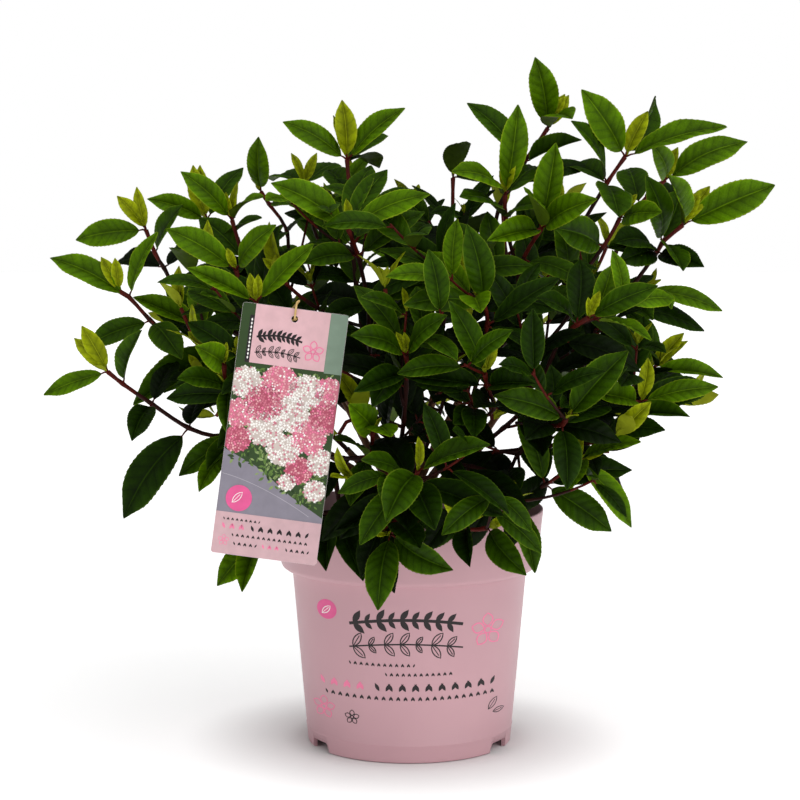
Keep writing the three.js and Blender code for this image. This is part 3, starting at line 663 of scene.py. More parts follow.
def grow_mass(index, thicket, seen):
    """One mass as the source grows it: its sprays, each a shoot with its leaves."""
    own = own_space(index)

    def fits(points):
        return own(points) and in_outline(points)

    name, _, size, droop, _ = MASSES[index]
    random = stream(index + 1)
    paths, turns = leads[index]["paths"], leads[index]["turns"]
    sides = side_shoots(paths[0], fits, random)
    habit = {**SOURCE_HABIT, "size": size, "droop": droop}
    sprays = []
    for order, path in enumerate([*paths, *sides]):
        spray, first = seen.get((name, order), (None, 1.0))
        if spray is None:
            foot = TWIG_FOOT_RADIUS if order else STEM_FOOT_RADIUS
            spray = new_spray(path, foot, STEM_TIP_RADIUS)
            thicket.add_twig(path)
        turned = turns[order] if order < len(paths) else 0.0
        pairs = LEAF_PAIRS if order < len(paths) else LEAF_PAIRS[:SIDE_SHOOT_PAIRS]
        path = spray["path"]
        free = first - PAIR_CLEAR / path.length
        pairs = [pair for pair in pairs if 1 - pair[0] / path.length < free]
        first_turn = facing_turn(path.along(1)) + turned + (random() - 0.5) * TURN_WANDER
        spray["nodes"] += set_leaves(spray, pairs, first_turn, habit, fits, thicket, random)
        sprays.append(spray)
    return sprays


# Places in the picture, of 800 by 800, and the same places in space at a given depth
PICTURE_SIDE = 800
PICTURE_HALF = PICTURE_SIDE / 2
FOCAL = CAMERA_LENS / SENSOR_WIDTH * PICTURE_SIDE
EYE = np.array(CAMERA_PLACE) / MM
ACROSS = np.array([1.0, 0.0, 0.0])
LOOK = np.array([0.0, math.cos(math.radians(CAMERA_PITCH)), -math.sin(math.radians(CAMERA_PITCH))])
LIFT = np.array([0.0, math.sin(math.radians(CAMERA_PITCH)), math.cos(math.radians(CAMERA_PITCH))])

# The dense part of the crown in the picture, and the places where the sky shows through it
OUTLINE = np.array([
    (228, 505), (205, 480), (200, 452), (205, 428), (186, 412), (164, 398), (166, 376), (180, 358),
    (160, 335), (152, 318), (156, 300), (156, 285), (152, 268), (163, 250), (180, 232), (192, 222),
    (205, 212), (214, 192), (228, 174), (248, 168), (262, 184), (290, 182), (318, 186), (340, 168),
    (352, 148), (374, 150), (380, 166), (372, 182), (412, 180), (430, 190), (452, 202), (456, 178),
    (476, 166), (500, 166), (516, 182), (540, 184), (562, 168), (586, 170), (600, 178), (612, 164),
    (634, 168), (646, 190), (662, 188), (686, 192), (690, 226), (684, 246), (702, 262), (690, 276),
    (700, 290), (716, 308), (700, 326), (688, 316), (660, 318), (664, 346), (690, 360), (716, 376),
    (714, 394), (690, 404), (686, 418), (664, 428), (640, 434), (636, 446), (622, 462), (630, 490),
    (630, 524), (608, 526), (588, 516), (566, 496), (546, 502), (548, 540), (540, 556), (530, 566),
    (506, 556), (494, 538), (476, 544), (470, 562), (456, 552), (440, 548), (420, 560), (404, 590),
    (378, 600), (364, 578), (342, 560),
    (328, 566), (262, 556), (250, 575), (226, 572),
], float)
SKY = np.array([
    (303, 286, 8), (345, 266, 6), (342, 301, 7), (369, 276, 6), (198, 232, 9), (214, 244, 7),
    (272, 207, 6), (291, 236, 8), (508, 208, 8), (498, 224, 7), (500, 252, 6), (531, 192, 8),
    (578, 178, 9), (582, 158, 9), (545, 160, 6), (594, 256, 8), (606, 230, 8), (650, 222, 8),
    (628, 236, 6), (640, 268, 8), (554, 332, 6), (488, 312, 6), (508, 440, 8), (532, 458, 8),
    (512, 478, 6), (560, 448, 5), (589, 396, 4), (603, 426, 6), (414, 412, 6), (402, 423, 5),
    (555, 472, 7), (130, 330, 12), (165, 425, 9), (205, 444, 6), (488, 200, 6), (610, 152, 5),
], float)


def from_picture(x, y, depth):
    ray = LOOK + LIFT * (PICTURE_HALF - y) / FOCAL + ACROSS * (x - PICTURE_HALF) / FOCAL
    return EYE + ray * (depth - EYE[1]) / ray[1]


def to_picture(points):
    away = np.asarray(points) - EYE
    across, up = FOCAL * away[:, 0], FOCAL * (away @ LIFT)
    return np.stack([PICTURE_HALF + across / (away @ LOOK), PICTURE_HALF - up / (away @ LOOK)], axis=1)


def in_outline(points):
    """Whether places lie inside the crown's outline in the picture and clear of its openings."""
    spots = to_picture(points)
    x, y = spots[:, 0, None], spots[:, 1, None]
    ax, ay = OUTLINE[:, 0], OUTLINE[:, 1]
    bx, by = np.roll(ax, -1), np.roll(ay, -1)
    level = (ay > y) != (by > y)
    rise = np.where(by == ay, 1.0, by - ay)
    crossed = level & (x < ax + (y - ay) * (bx - ax) / rise)
    inside = crossed.sum(axis=1) % 2 == 1
    gaps = np.hypot(x - SKY[:, 0], y - SKY[:, 1])
    return bool(inside.all() and (gaps > SKY[:, 2]).all())


# Shoots seen from the front: mass, shoot, depth of its tip, its nodes from inner to outer and
# its leaves as node, tip, how far behind the node the tip lies and, where it isn't seen in its
# full width, the share that is, below zero where it faces down, then its young leaves' tips
SEEN = [
    ("left_reach", 0, -80, [(222, 436), (189, 428), (152, 404), (123, 384), (108, 372)],
     [(4, 44, 395, 0, 0.95), (3, 142, 330, -15, 0.7), (2, 132, 441, -20, 0.9), (2, 176, 360, 15),
      (1, 124, 518, -15, 0.76), (1, 204, 398, 15)], [(82, 326), (74, 338)]),
    ("left_reach", 1, -60, [(240, 436), (228, 452)],
     [(0, 179, 476, -10, 0.8), (0, 207, 470, -25, 0.5), (1, 199, 492, -10, 0.78)], []),
    ("left_side", 0, -20, [(182, 350), (151, 321), (129, 297), (119, 291)],
     [(1, 88, 345, 0, 0.8), (1, 182, 359, -15), (2, 50, 258, -5), (2, 158, 232, -15)],
     [(101, 257), (115, 258)]),
    ("left_side", 1, 0, [(225, 345), (205, 330)],
     [(1, 133, 297, -10, 0.5), (1, 197, 277, 5), (0, 164, 393, -20), (1, 215, 272, 15),
      (0, 133, 405, -30, 0.5)], []),
    ("left_high", 0, 40, [(185, 300), (164, 268), (155, 253), (146, 230)],
     [(3, 76, 240, -5, 0.9), (2, 183, 205, -10, 0.8), (1, 117, 262, 10), (1, 205, 246, 10)],
     [(117, 196), (137, 187)]),
    ("left_high", 1, 50, [(240, 285), (223, 249), (207, 220)],
     [(2, 147, 199, -5, 0.8), (2, 243, 168, 15), (1, 262, 218, -15)], [(193, 165), (200, 165)]),
    ("left_inner", 0, 0, [(245, 260), (232, 220)],
     [(1, 181, 172, -10), (1, 264, 197, -5), (0, 199, 218, 5)], [(226, 192), (238, 182)]),
    ("left_inner", 1, 70, [(287, 232), (269, 204), (261, 192)],
     [(2, 259, 137, -5), (1, 306, 200, 0), (0, 322, 214, 0), (0, 262, 250, -10)], [(250, 178)]),
    ("top_left", 0, 20, [(350, 200), (347, 160)],
     [(1, 283, 122, -5), (1, 405, 108, -5), (1, 383, 134, 20), (1, 379, 168, 10),
      (0, 327, 170, 5), (0, 366, 178, 5)], [(342, 100), (333, 115)]),
    ("top_left", 1, 100, [(308, 210), (304, 184)],
     [(1, 273, 181, 10), (1, 338, 164, 10), (0, 290, 206, 0)], [(291, 153), (317, 153)]),
    ("front_left_high", 0, -120, [(368, 304), (358, 256), (348, 229)],
     [(2, 271, 183, -15), (2, 430, 194, -10, 0.8), (1, 302, 264, -10), (1, 425, 212, 0),
      (2, 371, 166, 25), (2, 387, 170, 15), (0, 309, 296, 10), (0, 320, 326, 0)], [(346, 198)]),
    ("front_left_high", 1, -130, [(246, 290), (236, 270)],
     [(1, 166, 229, -10), (1, 276, 225, -5, 0.8), (0, 182, 277, 10)], [(227, 248)]),
    ("front_left", 0, -165, [(258, 320), (256, 302)],
     [(1, 187, 268, -10, 0.6), (1, 314, 244, -5)], [(250, 273), (258, 274)]),
    ("front_left", 1, -178, [(229, 387), (224, 365)],
     [(1, 195, 346, -5, 0.8), (1, 238, 341, 5), (0, 177, 379, -5), (0, 227, 433, 0)], []),
    ("front_left_low", 0, -120, [(334, 512), (268, 505), (262, 535)],
     [(2, 217, 586, -5), (2, 242, 592, -20, 0.7), (0, 363, 581, -60), (0, 326, 571, -50, 0.7)], []),
    ("front_left_low", 1, -165, [(368, 458), (373, 432)],
     [(1, 349, 404, -5, 0.8), (0, 334, 440, -5), (0, 350, 506, -5), (1, 391, 437, -5)], []),
    ("front_mid", 0, -195, [(407, 372), (406, 355)],
     [(1, 351, 336, -5), (1, 447, 316, -5), (0, 354, 392, -10, 0.6), (0, 442, 372, 5)],
     [(396, 332), (404, 332)]),
    ("front_low", 0, -225, [(405, 497), (413, 482), (418, 471)],
     [(2, 490, 445, -10), (2, 386, 522, -20), (1, 377, 440, 15, 0.8), (1, 504, 516, -25, 0.9),
      (0, 334, 531, -10, 0.6), (0, 408, 530, -20), (1, 435, 530, -10)], [(418, 436)]),
    ("front_low", 1, -172, [(391, 505), (396, 520), (390, 534)],
     [(2, 378, 610, -25), (2, 453, 570, -10, -0.9), (0, 361, 578, 0), (1, 420, 548, 0)], []),
    ("front_right_mid", 0, -185, [(487, 326), (483, 303)],
     [(1, 467, 225, -5), (0, 560, 278, -10, 0.8), (1, 404, 305, -10), (0, 538, 352, 0)], []),
    ("front_right_mid", 1, -205, [(494, 408), (487, 386), (485, 374)],
     [(2, 449, 301, -5), (1, 403, 376, -10, 0.7), (1, 536, 384, -5, 0.7), (0, 474, 408, 0),
      (0, 522, 421, 5)],
     [(493, 333)]),
    ("front_right_low", 0, -160, [(466, 526), (487, 528)],
     [(1, 526, 575, -20, -0.97), (0, 412, 541, 5, 0.9), (0, 470, 567, -5, -0.6)], []),
    ("front_right_low", 1, -140, [(500, 515), (514, 502)],
     [(1, 535, 573, -20), (1, 467, 485, 5), (1, 506, 470, 10), (0, 548, 479, 10)], []),
    ("right_front", 0, -165, [(560, 340), (577, 325), (588, 318)],
     [(2, 658, 286, -5), (1, 536, 298, 0), (1, 580, 260, 5), (0, 640, 372, -5)],
     [(600, 291), (588, 297)]),
    ("right_front", 1, -180, [(562, 425), (566, 419)],
     [(1, 628, 351, -5), (1, 494, 396, -5, 0.8), (0, 609, 405, 5), (0, 567, 490, -10)], []),
    ("right_front_low", 0, -95, [(608, 430), (630, 414), (640, 402)],
     [(2, 718, 387, -5), (2, 588, 392, -5, 0.6), (1, 690, 417, 0, 0.7), (0, 665, 430, 0, 0.8),
      (1, 713, 386, 20)], [(648, 358)]),
    ("right_front_low", 1, -110, [(510, 497), (545, 485), (578, 460)],
     [(1, 611, 531, -5, 0.98), (1, 518, 413, 5, 0.8), (2, 641, 442, -5), (2, 631, 527, 5),
      (2, 570, 489, -10, 0.7), (1, 632, 470, 10), (1, 528, 442, 12), (0, 484, 452, 12)],
     [(582, 432), (605, 452)]),
    ("right_side", 0, -30, [(642, 395), (651, 370)],
     [(1, 723, 378, -5, 0.6), (1, 614, 324, -5, 0.7), (0, 678, 372, 10)],
     [(684, 333), (688, 341)]),
    ("right_side", 1, 50, [(620, 305), (645, 289)],
     [(1, 722, 311, 0), (1, 671, 309, -5), (0, 704, 331, 10), (0, 653, 320, -5),
      (0, 660, 351, 0)], []),
    ("right_high", 0, -10, [(633, 285), (657, 252), (662, 243), (683, 225)],
     [(3, 775, 185, -5, 0.98), (3, 668, 175, -15, 0.6), (2, 646, 176, -5, 0.8), (2, 683, 271, -5),
      (1, 613, 243, -10), (1, 704, 267, 0, 0.97), (2, 681, 190, 5), (1, 618, 262, 0, 0.8)],
     [(710, 186), (700, 192)]),
    ("right_high", 1, 60, [(616, 252), (640, 205), (665, 180)],
     [(2, 747, 142, 0, 0.8), (2, 668, 141, 0, 0.8), (1, 628, 169, 5), (1, 690, 198, 10)],
     [(678, 147), (675, 160)]),
    ("right_top", 0, -20, [(578, 232), (607, 183), (625, 157)],
     [(2, 582, 90, -5, 0.97), (2, 727, 127, -5), (1, 571, 121, -5), (1, 619, 217, -15),
      (1, 564, 168, 5), (2, 655, 96, 15, -0.6)], [(648, 111)]),
    ("right_top", 1, -40, [(506, 218), (505, 195)],
     [(1, 518, 105, -5), (1, 452, 172, -5), (0, 548, 207, 0), (0, 460, 197, -10),
      (1, 538, 168, 10)], [(512, 150)]),
    ("right_front_high", 0, -115, [(523, 260), (541, 229)],
     [(1, 556, 143, -5), (1, 487, 241, -10, 0.7), (1, 597, 199, -10, 0.8), (1, 525, 192, -5),
      (0, 588, 285, -5)], [(546, 205)]),
    ("right_front_high", 1, -60, [(603, 247), (620, 218)],
     [(0, 554, 228, -15, 0.8), (1, 662, 212, 0, 0.8), (0, 655, 262, 5)], [(637, 194)]),
    ("top_right", 0, 10, [(500, 205), (516, 183), (524, 163), (548, 128)],
     [(3, 535, 57, -5, 0.95), (3, 572, 119, -10), (2, 467, 103, 0), (2, 582, 140, -5, 0.6),
      (1, 592, 166, 5)], [(565, 94), (569, 95)]),
    ("top_back", 0, 60, [(452, 235), (453, 178)],
     [(1, 465, 142, -5), (0, 412, 186, 0), (0, 495, 190, 0), (1, 486, 176, 10)], []),
    ("centre", 0, -122, [(462, 305), (458, 281)],
     [(1, 379, 250, -10), (1, 372, 298, 0), (1, 392, 233, 10, 0.7), (1, 535, 267, 5),
      (0, 560, 310, 0)], [(460, 240), (446, 248)]),
]


# How early a seen shoot comes forward, and how far it follows the source's first bend
SEEN_EASE = 0.8
SEEN_BEND = 0.55


def seen_path(lead, order, depth, places):
    """A shoot led through its places in the picture, from where the mass's own shoot starts."""
    start = lead["paths"][order].at(0)
    row = to_picture([start])[0]
    marks = [row, *[np.array(place, float) for place in places]]
    run = np.concatenate([[0], np.cumsum(np.linalg.norm(np.diff(marks, axis=0), axis=1))])
    shares = (run / run[-1]) ** SEEN_EASE
    depths = start[1] + (depth - start[1]) * shares[1:]
    nodes = [from_picture(x, y, d) for (x, y), d in zip(places, depths)]
    middle = shoot_path(start, nodes[0]).at(SEEN_BEND)
    path = Path.through([start, middle, *nodes])
    return path, [path.share_near(node) for node in nodes]


# How leaves that are seen from the front lie: the light that they face, the usual length, how
# narrow one is that is folded and by how many degrees that one is turned
VIEW_LIGHT = np.array([0.0, -0.82, 0.57])
USUAL_LENGTH = 62.0
NARROW = 0.75
FOLDED_TURN = 38.0
SEEN_SWAY = 0.5
AIM_ROUNDS = 3
# How far behind its node, in millimetres, a leaf's tip lies that is a tone darker, as painted shade on a
# leaf that leans away from the light
BEHIND = 8
# The young leaves of these shoots: their size, how far before the tip they end and how they turn
SEEN_YOUNG = 0.45
YOUNG_BEFORE = 3
YOUNG_SWAY = 1.2
# Masses in shade, and the share of their shoots that start a tone darker
SHADED = {"centre", "top_back", "front_mid", "front_low", "front_right_mid", "front_right_low",
          "front_left_low", "front_left_high", "right_front", "right_front_low", "right_side"}
SHADED_SHARE = 0.6
# One tone darker, the step of painted shade
DARKER = {"bright": "fresh", "fresh": "mid", "mid": "deep", "deep": "deep"}


def seen_tip(node, size, x, y, behind):
    """A leaf's tip at its place in the picture, leaning out of it as far as it looks short."""
    flat = np.linalg.norm(from_picture(x, y, node[1]) - node)
    lean = math.sqrt(max((USUAL_LENGTH * size) ** 2 - flat * flat, 0.0))
    return from_picture(x, y, node[1] + behind + (lean if behind > 0 else -lean))


def seen_leaf(path, share, tip, pattern, turned, sway):
    """A leaf from a node whose drawn-out point ends at a given place."""
    node, along = path.at(share), path.along(share)
    length = np.linalg.norm(tip - node)
    facing = VIEW_LIGHT + along * 0.2 + np.array([sway, 0.0, abs(sway) * 0.6])
    if turned:
        facing = np.array([0.0, -1.0, 0.0])
    point = pattern[0][pattern[0][:, 0].argmax()]
    aim = tip.copy()
    for _ in range(AIM_ROUNDS):
        forward = unit(aim - node)
        normal = unit(facing - forward * facing.dot(forward))
        aside = np.cross(normal, forward)
        upward = 1 if aside[2] > 0 else -1
        normal = normal * math.cos(turned) + aside * upward * math.sin(turned)
        leaf = leaf_axes(node, forward, normal)
        aim += tip - leaf_points(leaf, length, point[None])[0]
    return leaf, length


def grow_seen(thicket):
    """The shoots that are seen from the front, by mass and shoot."""
    grown = {}
    names = [mass[0] for mass in MASSES]
    for number, (name, order, depth, places, leaves, young) in enumerate(SEEN):
        random = stream(601 + number)
        index = names.index(name)
        path, shares = seen_path(leads[index], order, depth, places)
        foot = TWIG_FOOT_RADIUS if order else STEM_FOOT_RADIUS
        spray = new_spray(path, foot, STEM_TIP_RADIUS)
        spray["young"] = SEEN_YOUNG
        spray["nodes"] = [(at, path.along(at), facing_turn(path.along(at))) for at in shares]
        outermost = max(leaf[0] for leaf in leaves)
        shaded = name in SHADED and random() < SHADED_SHARE

        def fit(share, tip, pattern, turned, sway, tone):
            leaf, length = seen_leaf(path, share, tip, pattern, turned, sway)
            spray["fitted"].append((leaf, length, pattern, tone))
            thicket.add_leaf(leaf_surface(leaf, length))

        for node, x, y, behind, *width in leaves:
            width, side = (abs(width[0]), math.copysign(1, width[0])) if width else (1.0, 1)
            shapes = MATURE if width > NARROW else FOLDED
            pattern = shapes[int(random() * len(shapes))]
            tip = seen_tip(path.at(shares[node]), MASSES[index][2], x, y, behind)
            turned = side * (math.acos(width) if width > NARROW else math.radians(FOLDED_TURN))
            # Painted light and shade: lit outer leaves, a tone darker in shaded masses, for each node
            # further in, up to two, and where a leaf leans back
            tone = "fresh" if shaded else "bright"
            for _ in range(min(outermost - node, 2) + (behind > BEHIND)):
                tone = DARKER[tone]
            fit(shares[node], tip, pattern, turned, (random() - 0.5) * SEEN_SWAY, tone)
        for x, y in young:
            pattern = YOUNG[int(random() * len(YOUNG))]
            tip = from_picture(x, y, path.at(1)[1] - YOUNG_BEFORE)
            fit(1.0, tip, pattern, 0.0, (random() - 0.5) * YOUNG_SWAY, "young")
        thicket.add_twig(path)
        grown[(name, order)] = (spray, shares[0])
    return grown


# Finer twigs: short shoots from the leaf axils, kept only where they and their leaves fit
AXIL_CHANCE = 0.8
AXIL_LENGTHS = (34.0, 74.0)
AXIL_SPREAD = 40.0
AXIL_PAIRS = [(5, 52, 50, 0.2), (30, 60, 60, -0.05), (58, 62, 66, -0.2)]
AXIL_REACH = 1.16
AXIL_LEAF_REACH = AXIL_REACH * 1.12
AXIL_RADII = (1.3, 0.9)
AXIL_RISE = 0.2
AXIL_TURN = 1.6
# The bare end that stays beyond the outermost leaf, and the size of the young leaves there
BARE_END = 4
AXIL_YOUNG = 0.5
# How high a finer twig's tip has to lie for young leaves, and how many of those tips have them
LOW_TIPS = 300.0
YOUNG_CHANCE = 0.4


def grow_axils(parent, thicket, random):
    """Short shoots that leave a shoot between its leaves and its stem."""

    def clear(points, reach):
        return not blocked(points).any() and inside_crown(points, reach) and in_outline(points)

    def leaf_clear(points):
        return clear(points, AXIL_LEAF_REACH)

    grown = []
    shortest, longest = AXIL_LENGTHS
    spread = math.radians(AXIL_SPREAD)
    for at, along, turn in parent["nodes"][1:]:
        for side in range(2):
            chance, size_share, wander = random(), random(), random() - 0.5
            if chance > AXIL_CHANCE:
                continue
            size = shortest + (longest - shortest) * size_share
            start = parent["path"].at(at)
            out = square(along, turn + side * math.pi + wander)
            heading = unit(along * math.cos(spread) + out * math.sin(spread))
            path = short_shoot(start, heading, size, AXIL_RISE)
            if not clear(path.spaced(5)[2:], AXIL_REACH) or thicket.twig_meets(path):
                continue
            spray = new_spray(path, *AXIL_RADII)
            drawn = random() < YOUNG_CHANCE
            spray["young"] = AXIL_YOUNG if drawn and path.at(1)[2] > LOW_TIPS else 0.0
            first_turn = facing_turn(path.along(1)) + (random() - 0.5) * AXIL_TURN
            set_leaves(spray, AXIL_PAIRS, first_turn, FINE_HABIT, leaf_clear, thicket, random)
            if spray["leaves"]:
                outer = max(path.share_near(leaf["node"]) for leaf, _ in spray["leaves"])
                spray["path"] = path.up_to(min(outer + BARE_END / path.length, 1.0))
                thicket.add_twig(spray["path"])
                grown.append(spray)
    return grown


def grow_crown():
    thicket = Thicket()
    seen = grow_seen(thicket)
    masses = [grow_mass(index, thicket, seen) for index in range(len(MASSES))]
    random = stream(501)
    sprays = []
    for grown in masses:
        finer = [spray for parent in grown for spray in grow_axils(parent, thicket, random)]
        sprays += grown + finer
    return sprays, thicket


class Heap:
    """Points and faces gathered into one mesh, each face with a material's number."""

    def __init__(self):
        self.points, self.triangles, self.kinds, self.places, self.count = [], [], [], [], 0

    def add(self, points, triangles, kinds=0, places=None):
        triangles = np.asarray(triangles, int)
        self.points.append(np.asarray(points, float))
        self.triangles.append(triangles + self.count)
        self.kinds.append(np.broadcast_to(kinds, len(triangles)))
        if places is not None:
            self.places.append(places[triangles.ravel()])
        self.count += len(points)

    def piece(self, name, materials, smooth=True):
        points = np.concatenate(self.points) * MM
        triangles = np.concatenate(self.triangles)
        mesh = bpy.data.meshes.new(name)
        mesh.vertices.add(len(points))
        mesh.vertices.foreach_set("co", points.astype(np.float32).ravel())
        mesh.loops.add(triangles.size)
        mesh.loops.foreach_set("vertex_index", triangles.astype(np.int32).ravel())
        mesh.polygons.add(len(triangles))
        mesh.polygons.foreach_set("loop_start", np.arange(0, triangles.size, 3, dtype=np.int32))
        for material in materials:
            mesh.materials.append(material)
        mesh.polygons.foreach_set("material_index", np.concatenate(self.kinds).astype(np.int32))
        mesh.polygons.foreach_set("use_smooth", np.full(len(triangles), smooth))
        if self.places:
            layer = mesh.uv_layers.new(name="blade")
            layer.data.foreach_set("uv", np.concatenate(self.places).astype(np.float32).ravel())
        mesh.update(calc_edges=True)
        mesh.validate()
        return linked(name, mesh)


def skin(rings, foot=None, tip=None, closed=False):
    """Points and triangles over rings of points, with a point at each open end or the ends joined."""
    count, sides = len(rings), len(rings[0])
    points = [point for ring in rings for point in ring]
    corner = np.arange(sides)
    following = (corner + 1) % sides
    triangles = []
    for row in range(count if closed else count - 1):
        low, high = row * sides, (row + 1) % count * sides
        triangles.append(np.stack([low + corner, low + following, high + following], axis=1))
        triangles.append(np.stack([low + corner, high + following, high + corner], axis=1))
    if foot is not None:
        triangles.append(np.stack([np.full(sides, len(points)), following, corner], axis=1))
        points.append(foot)
    if tip is not None:
        top = (count - 1) * sides
        triangles.append(np.stack([np.full(sides, len(points)), top + corner, top + following], axis=1))
        points.append(tip)
    return np.array(points, float), np.concatenate(triangles)


def turns_of(sides):
    return np.arange(sides) / sides * FULL_TURN


def level_ring(reach, height, sides):
    """A ring round the upright axis, as wide as given all round or at each side."""
    turns = turns_of(sides)
    return np.stack([reach * np.cos(turns), reach * np.sin(turns), np.full(sides, height)], axis=1)


def tube(points, radii, sides, closed=False):
    """A tube along points, with a point at each end or the ends joined."""
    points = np.asarray(points, float)
    if closed:
        tangents = np.roll(points, -1, axis=0) - np.roll(points, 1, axis=0)
    else:
        tangents = np.gradient(points, axis=0)
    tangents = unit_rows(tangents)
    across = square(tangents[0], 0.0)
    cosines, sines = np.cos(turns_of(sides))[:, None], np.sin(turns_of(sides))[:, None]
    rings = []
    for point, tangent, radius in zip(points, tangents, radii):
        across = unit(across - tangent * across.dot(tangent))
        rings.append(point + radius * (cosines * across + sines * np.cross(tangent, across)))
    return skin(rings, closed=True) if closed else skin(rings, points[0], points[-1])


# Leaf patterns: a serrate blade with sunken veins, its margin, its pale midrib and underside
BLADE_FOOT = 0.09
TOP, MIDRIB, UNDER, MARGIN = 0, 1, 2, 3
COLUMNS = np.array([-1, -0.945, -0.64, -0.32, -0.035, 0, 0.035, 0.32, 0.64, 0.945, 1])
UNDER_COLUMNS = np.array([-1, 0, 1])
# The blade's outline: how round it is and its largest half width before scaling, then where its
# drawn-out point begins, over what run and by how much it narrows
BLADE_ROUND = 0.72
BLADE_MOST = 0.3686
POINT_FROM = 0.76
POINT_RUN = 0.24
POINT_WAIST = 0.36


def blade_half(t, half_width):
    """Half the blade's width: elliptic, with a drawn-out point."""
    ease = min(max((t - POINT_FROM) / POINT_RUN, 0), 1)
    point = 1 - POINT_WAIST * ease * ease * (3 - 2 * ease)
    return half_width * (t**BLADE_ROUND) * ((1 - t) ** BLADE_ROUND) * point / BLADE_MOST


def leaf_pattern(random, stations, half_width, quilt, tooth, folded=0.0):
    """A leaf of length 1: points, triangles, what each is part of and its place on the blade."""
    arch = (0.03 + 0.05 * random()) * (0.4 if folded else 1)
    drop = (0.04 + 0.11 * random()) * (0.5 if folded else 1)
    fold = 0.1 + 0.5 * random() ** 1.5 + folded
    lean = 0.0 if folded else (random() - 0.5) * 0.6
    twist = (random() - 0.5) * 0.6
    sweep = (random() - 0.5) * 0.12
    wave = 0.010 * random()
    phase = random() * 6.28
    shares = [(step / stations) ** 1.25 for step in range(stations + 1)]
    points, triangles, kinds, places = [], [], [], []

    def add(t, v, lift, station):
        """A point at a share of the length and of the half width, and its number."""
        t_here = min(t + 0.42 * abs(v) * math.sqrt(t) * (1 - t), 1.0)
        half = blade_half(t_here, half_width)
        a = v * half
        h = fold * abs(a) * (1 - 0.3 * t_here) - 0.09 * abs(v) ** 2 * half
        h += wave * abs(v) * math.sin(t_here * 14 + phase + (2 if v > 0 else 0)) + lift
        roll = lean + twist * t_here
        a, h = a * math.cos(roll) - h * math.sin(roll), a * math.sin(roll) + h * math.cos(roll)
        h += arch * math.sin(math.pi * t_here) - drop * t_here * t_here
        points.append((BLADE_FOOT + (1 - BLADE_FOOT) * t_here, a + sweep * t_here**2, h))
        places.append((v, station))
        return len(points) - 1

    def lift_of(step, v, under):
        if under:
            return -0.007 * (1 - abs(v)) - 0.0015
        if abs(v) < 0.1:
            return -0.004 * (abs(v) < 0.01)
        swell = quilt * (step % 2) * math.sin(math.pi * shares[step]) ** 0.5
        return swell * math.sin(math.pi * abs(v))

    def row_of(step, vs, under):
        if step in (0, stations):
            return [add(shares[step], 0, -0.004 if under else 0, step)] * len(vs)
        return [add(shares[step], v, lift_of(step, v, under), step) for v in vs]

    def teeth(step, v, under):
        """Two points between stations at the margin, the outer one a tooth."""
        low, high = shares[step], shares[step + 1]
        lift = -0.0015 if under else 0.0
        return [
            add(low + (high - low) * 0.34, v, lift, step + 0.34),
            add(low + (high - low) * 0.72, v * (1 + tooth), lift, step + 0.72),
        ]

    def face(kind, corners):
        for second, third in zip(corners[1:], corners[2:]):
            if len({corners[0], second, third}) == 3:
                triangles.append((corners[0], second, third))
                kinds.append(kind)

    for under, vs in ((False, COLUMNS), (True, UNDER_COLUMNS)):
        rows = [row_of(step, vs, under) for step in range(stations + 1)]
        last = len(vs) - 1
        for step, (low, high) in enumerate(zip(rows, rows[1:])):
            for column in range(last):
                corners = [low[column], low[column + 1], high[column + 1], high[column]]
                kind = UNDER if under else TOP
                if not under and abs(vs[column] + vs[column + 1]) < 0.1:
                    kind = MIDRIB
                if column == 0:
                    edge = teeth(step, -1, under)
                    corners = [low[1], high[1], high[0], edge[1], edge[0], low[0]]
                elif column == last - 1:
                    edge = teeth(step, 1, under)
                    corners = [low[column], low[last], *edge, high[last], high[column]]
                if column in (0, last - 1) and not under:
                    kind = MARGIN
                face(kind, corners[::-1] if under else corners)
    return facing_up(np.array(points), np.array(triangles), np.array(kinds), np.array(places))


def facing_up(points, triangles, kinds, places):
    """A pattern with its upper faces turned to look along +normal."""
    a, b, c = (points[triangles[:, k]] for k in range(3))
    facing = np.cross(b - a, c - a)[:, 2]
    wrong = np.where(kinds != UNDER, facing < 0, facing > 0)
    triangles[wrong] = triangles[wrong][:, ::-1]
    return points, triangles, kinds, places


def fit_pattern(pattern, leaf, length):
    return leaf_points(leaf, length, pattern[0]), *pattern[1:]


MATURE = [leaf_pattern(stream(40 + k), 16, 0.162 + 0.01 * (k % 4), 0.022, 0.035) for k in range(12)]
FOLDED = [leaf_pattern(stream(60 + k), 16, 0.14, 0.02, 0.035, 0.9) for k in range(4)]
YOUNG = [leaf_pattern(stream(70 + k), 10, 0.18, 0.02, 0.04) for k in range(4)]


def linear(red, green, blue):
    """A display colour out of 255 as the renderer's own values."""
    values = []
    for part in (red, green, blue):
        share = part / 255
        values.append(share / 12.92 if share <= 0.04045 else ((share + 0.055) / 1.055) ** 2.4)
    return (*values, 1.0)


def shade(colour, factor):
    return (*[min(part * factor, 1.0) for part in colour[:3]], 1.0)


def grey(value):
    return (value, value, value, 1.0)


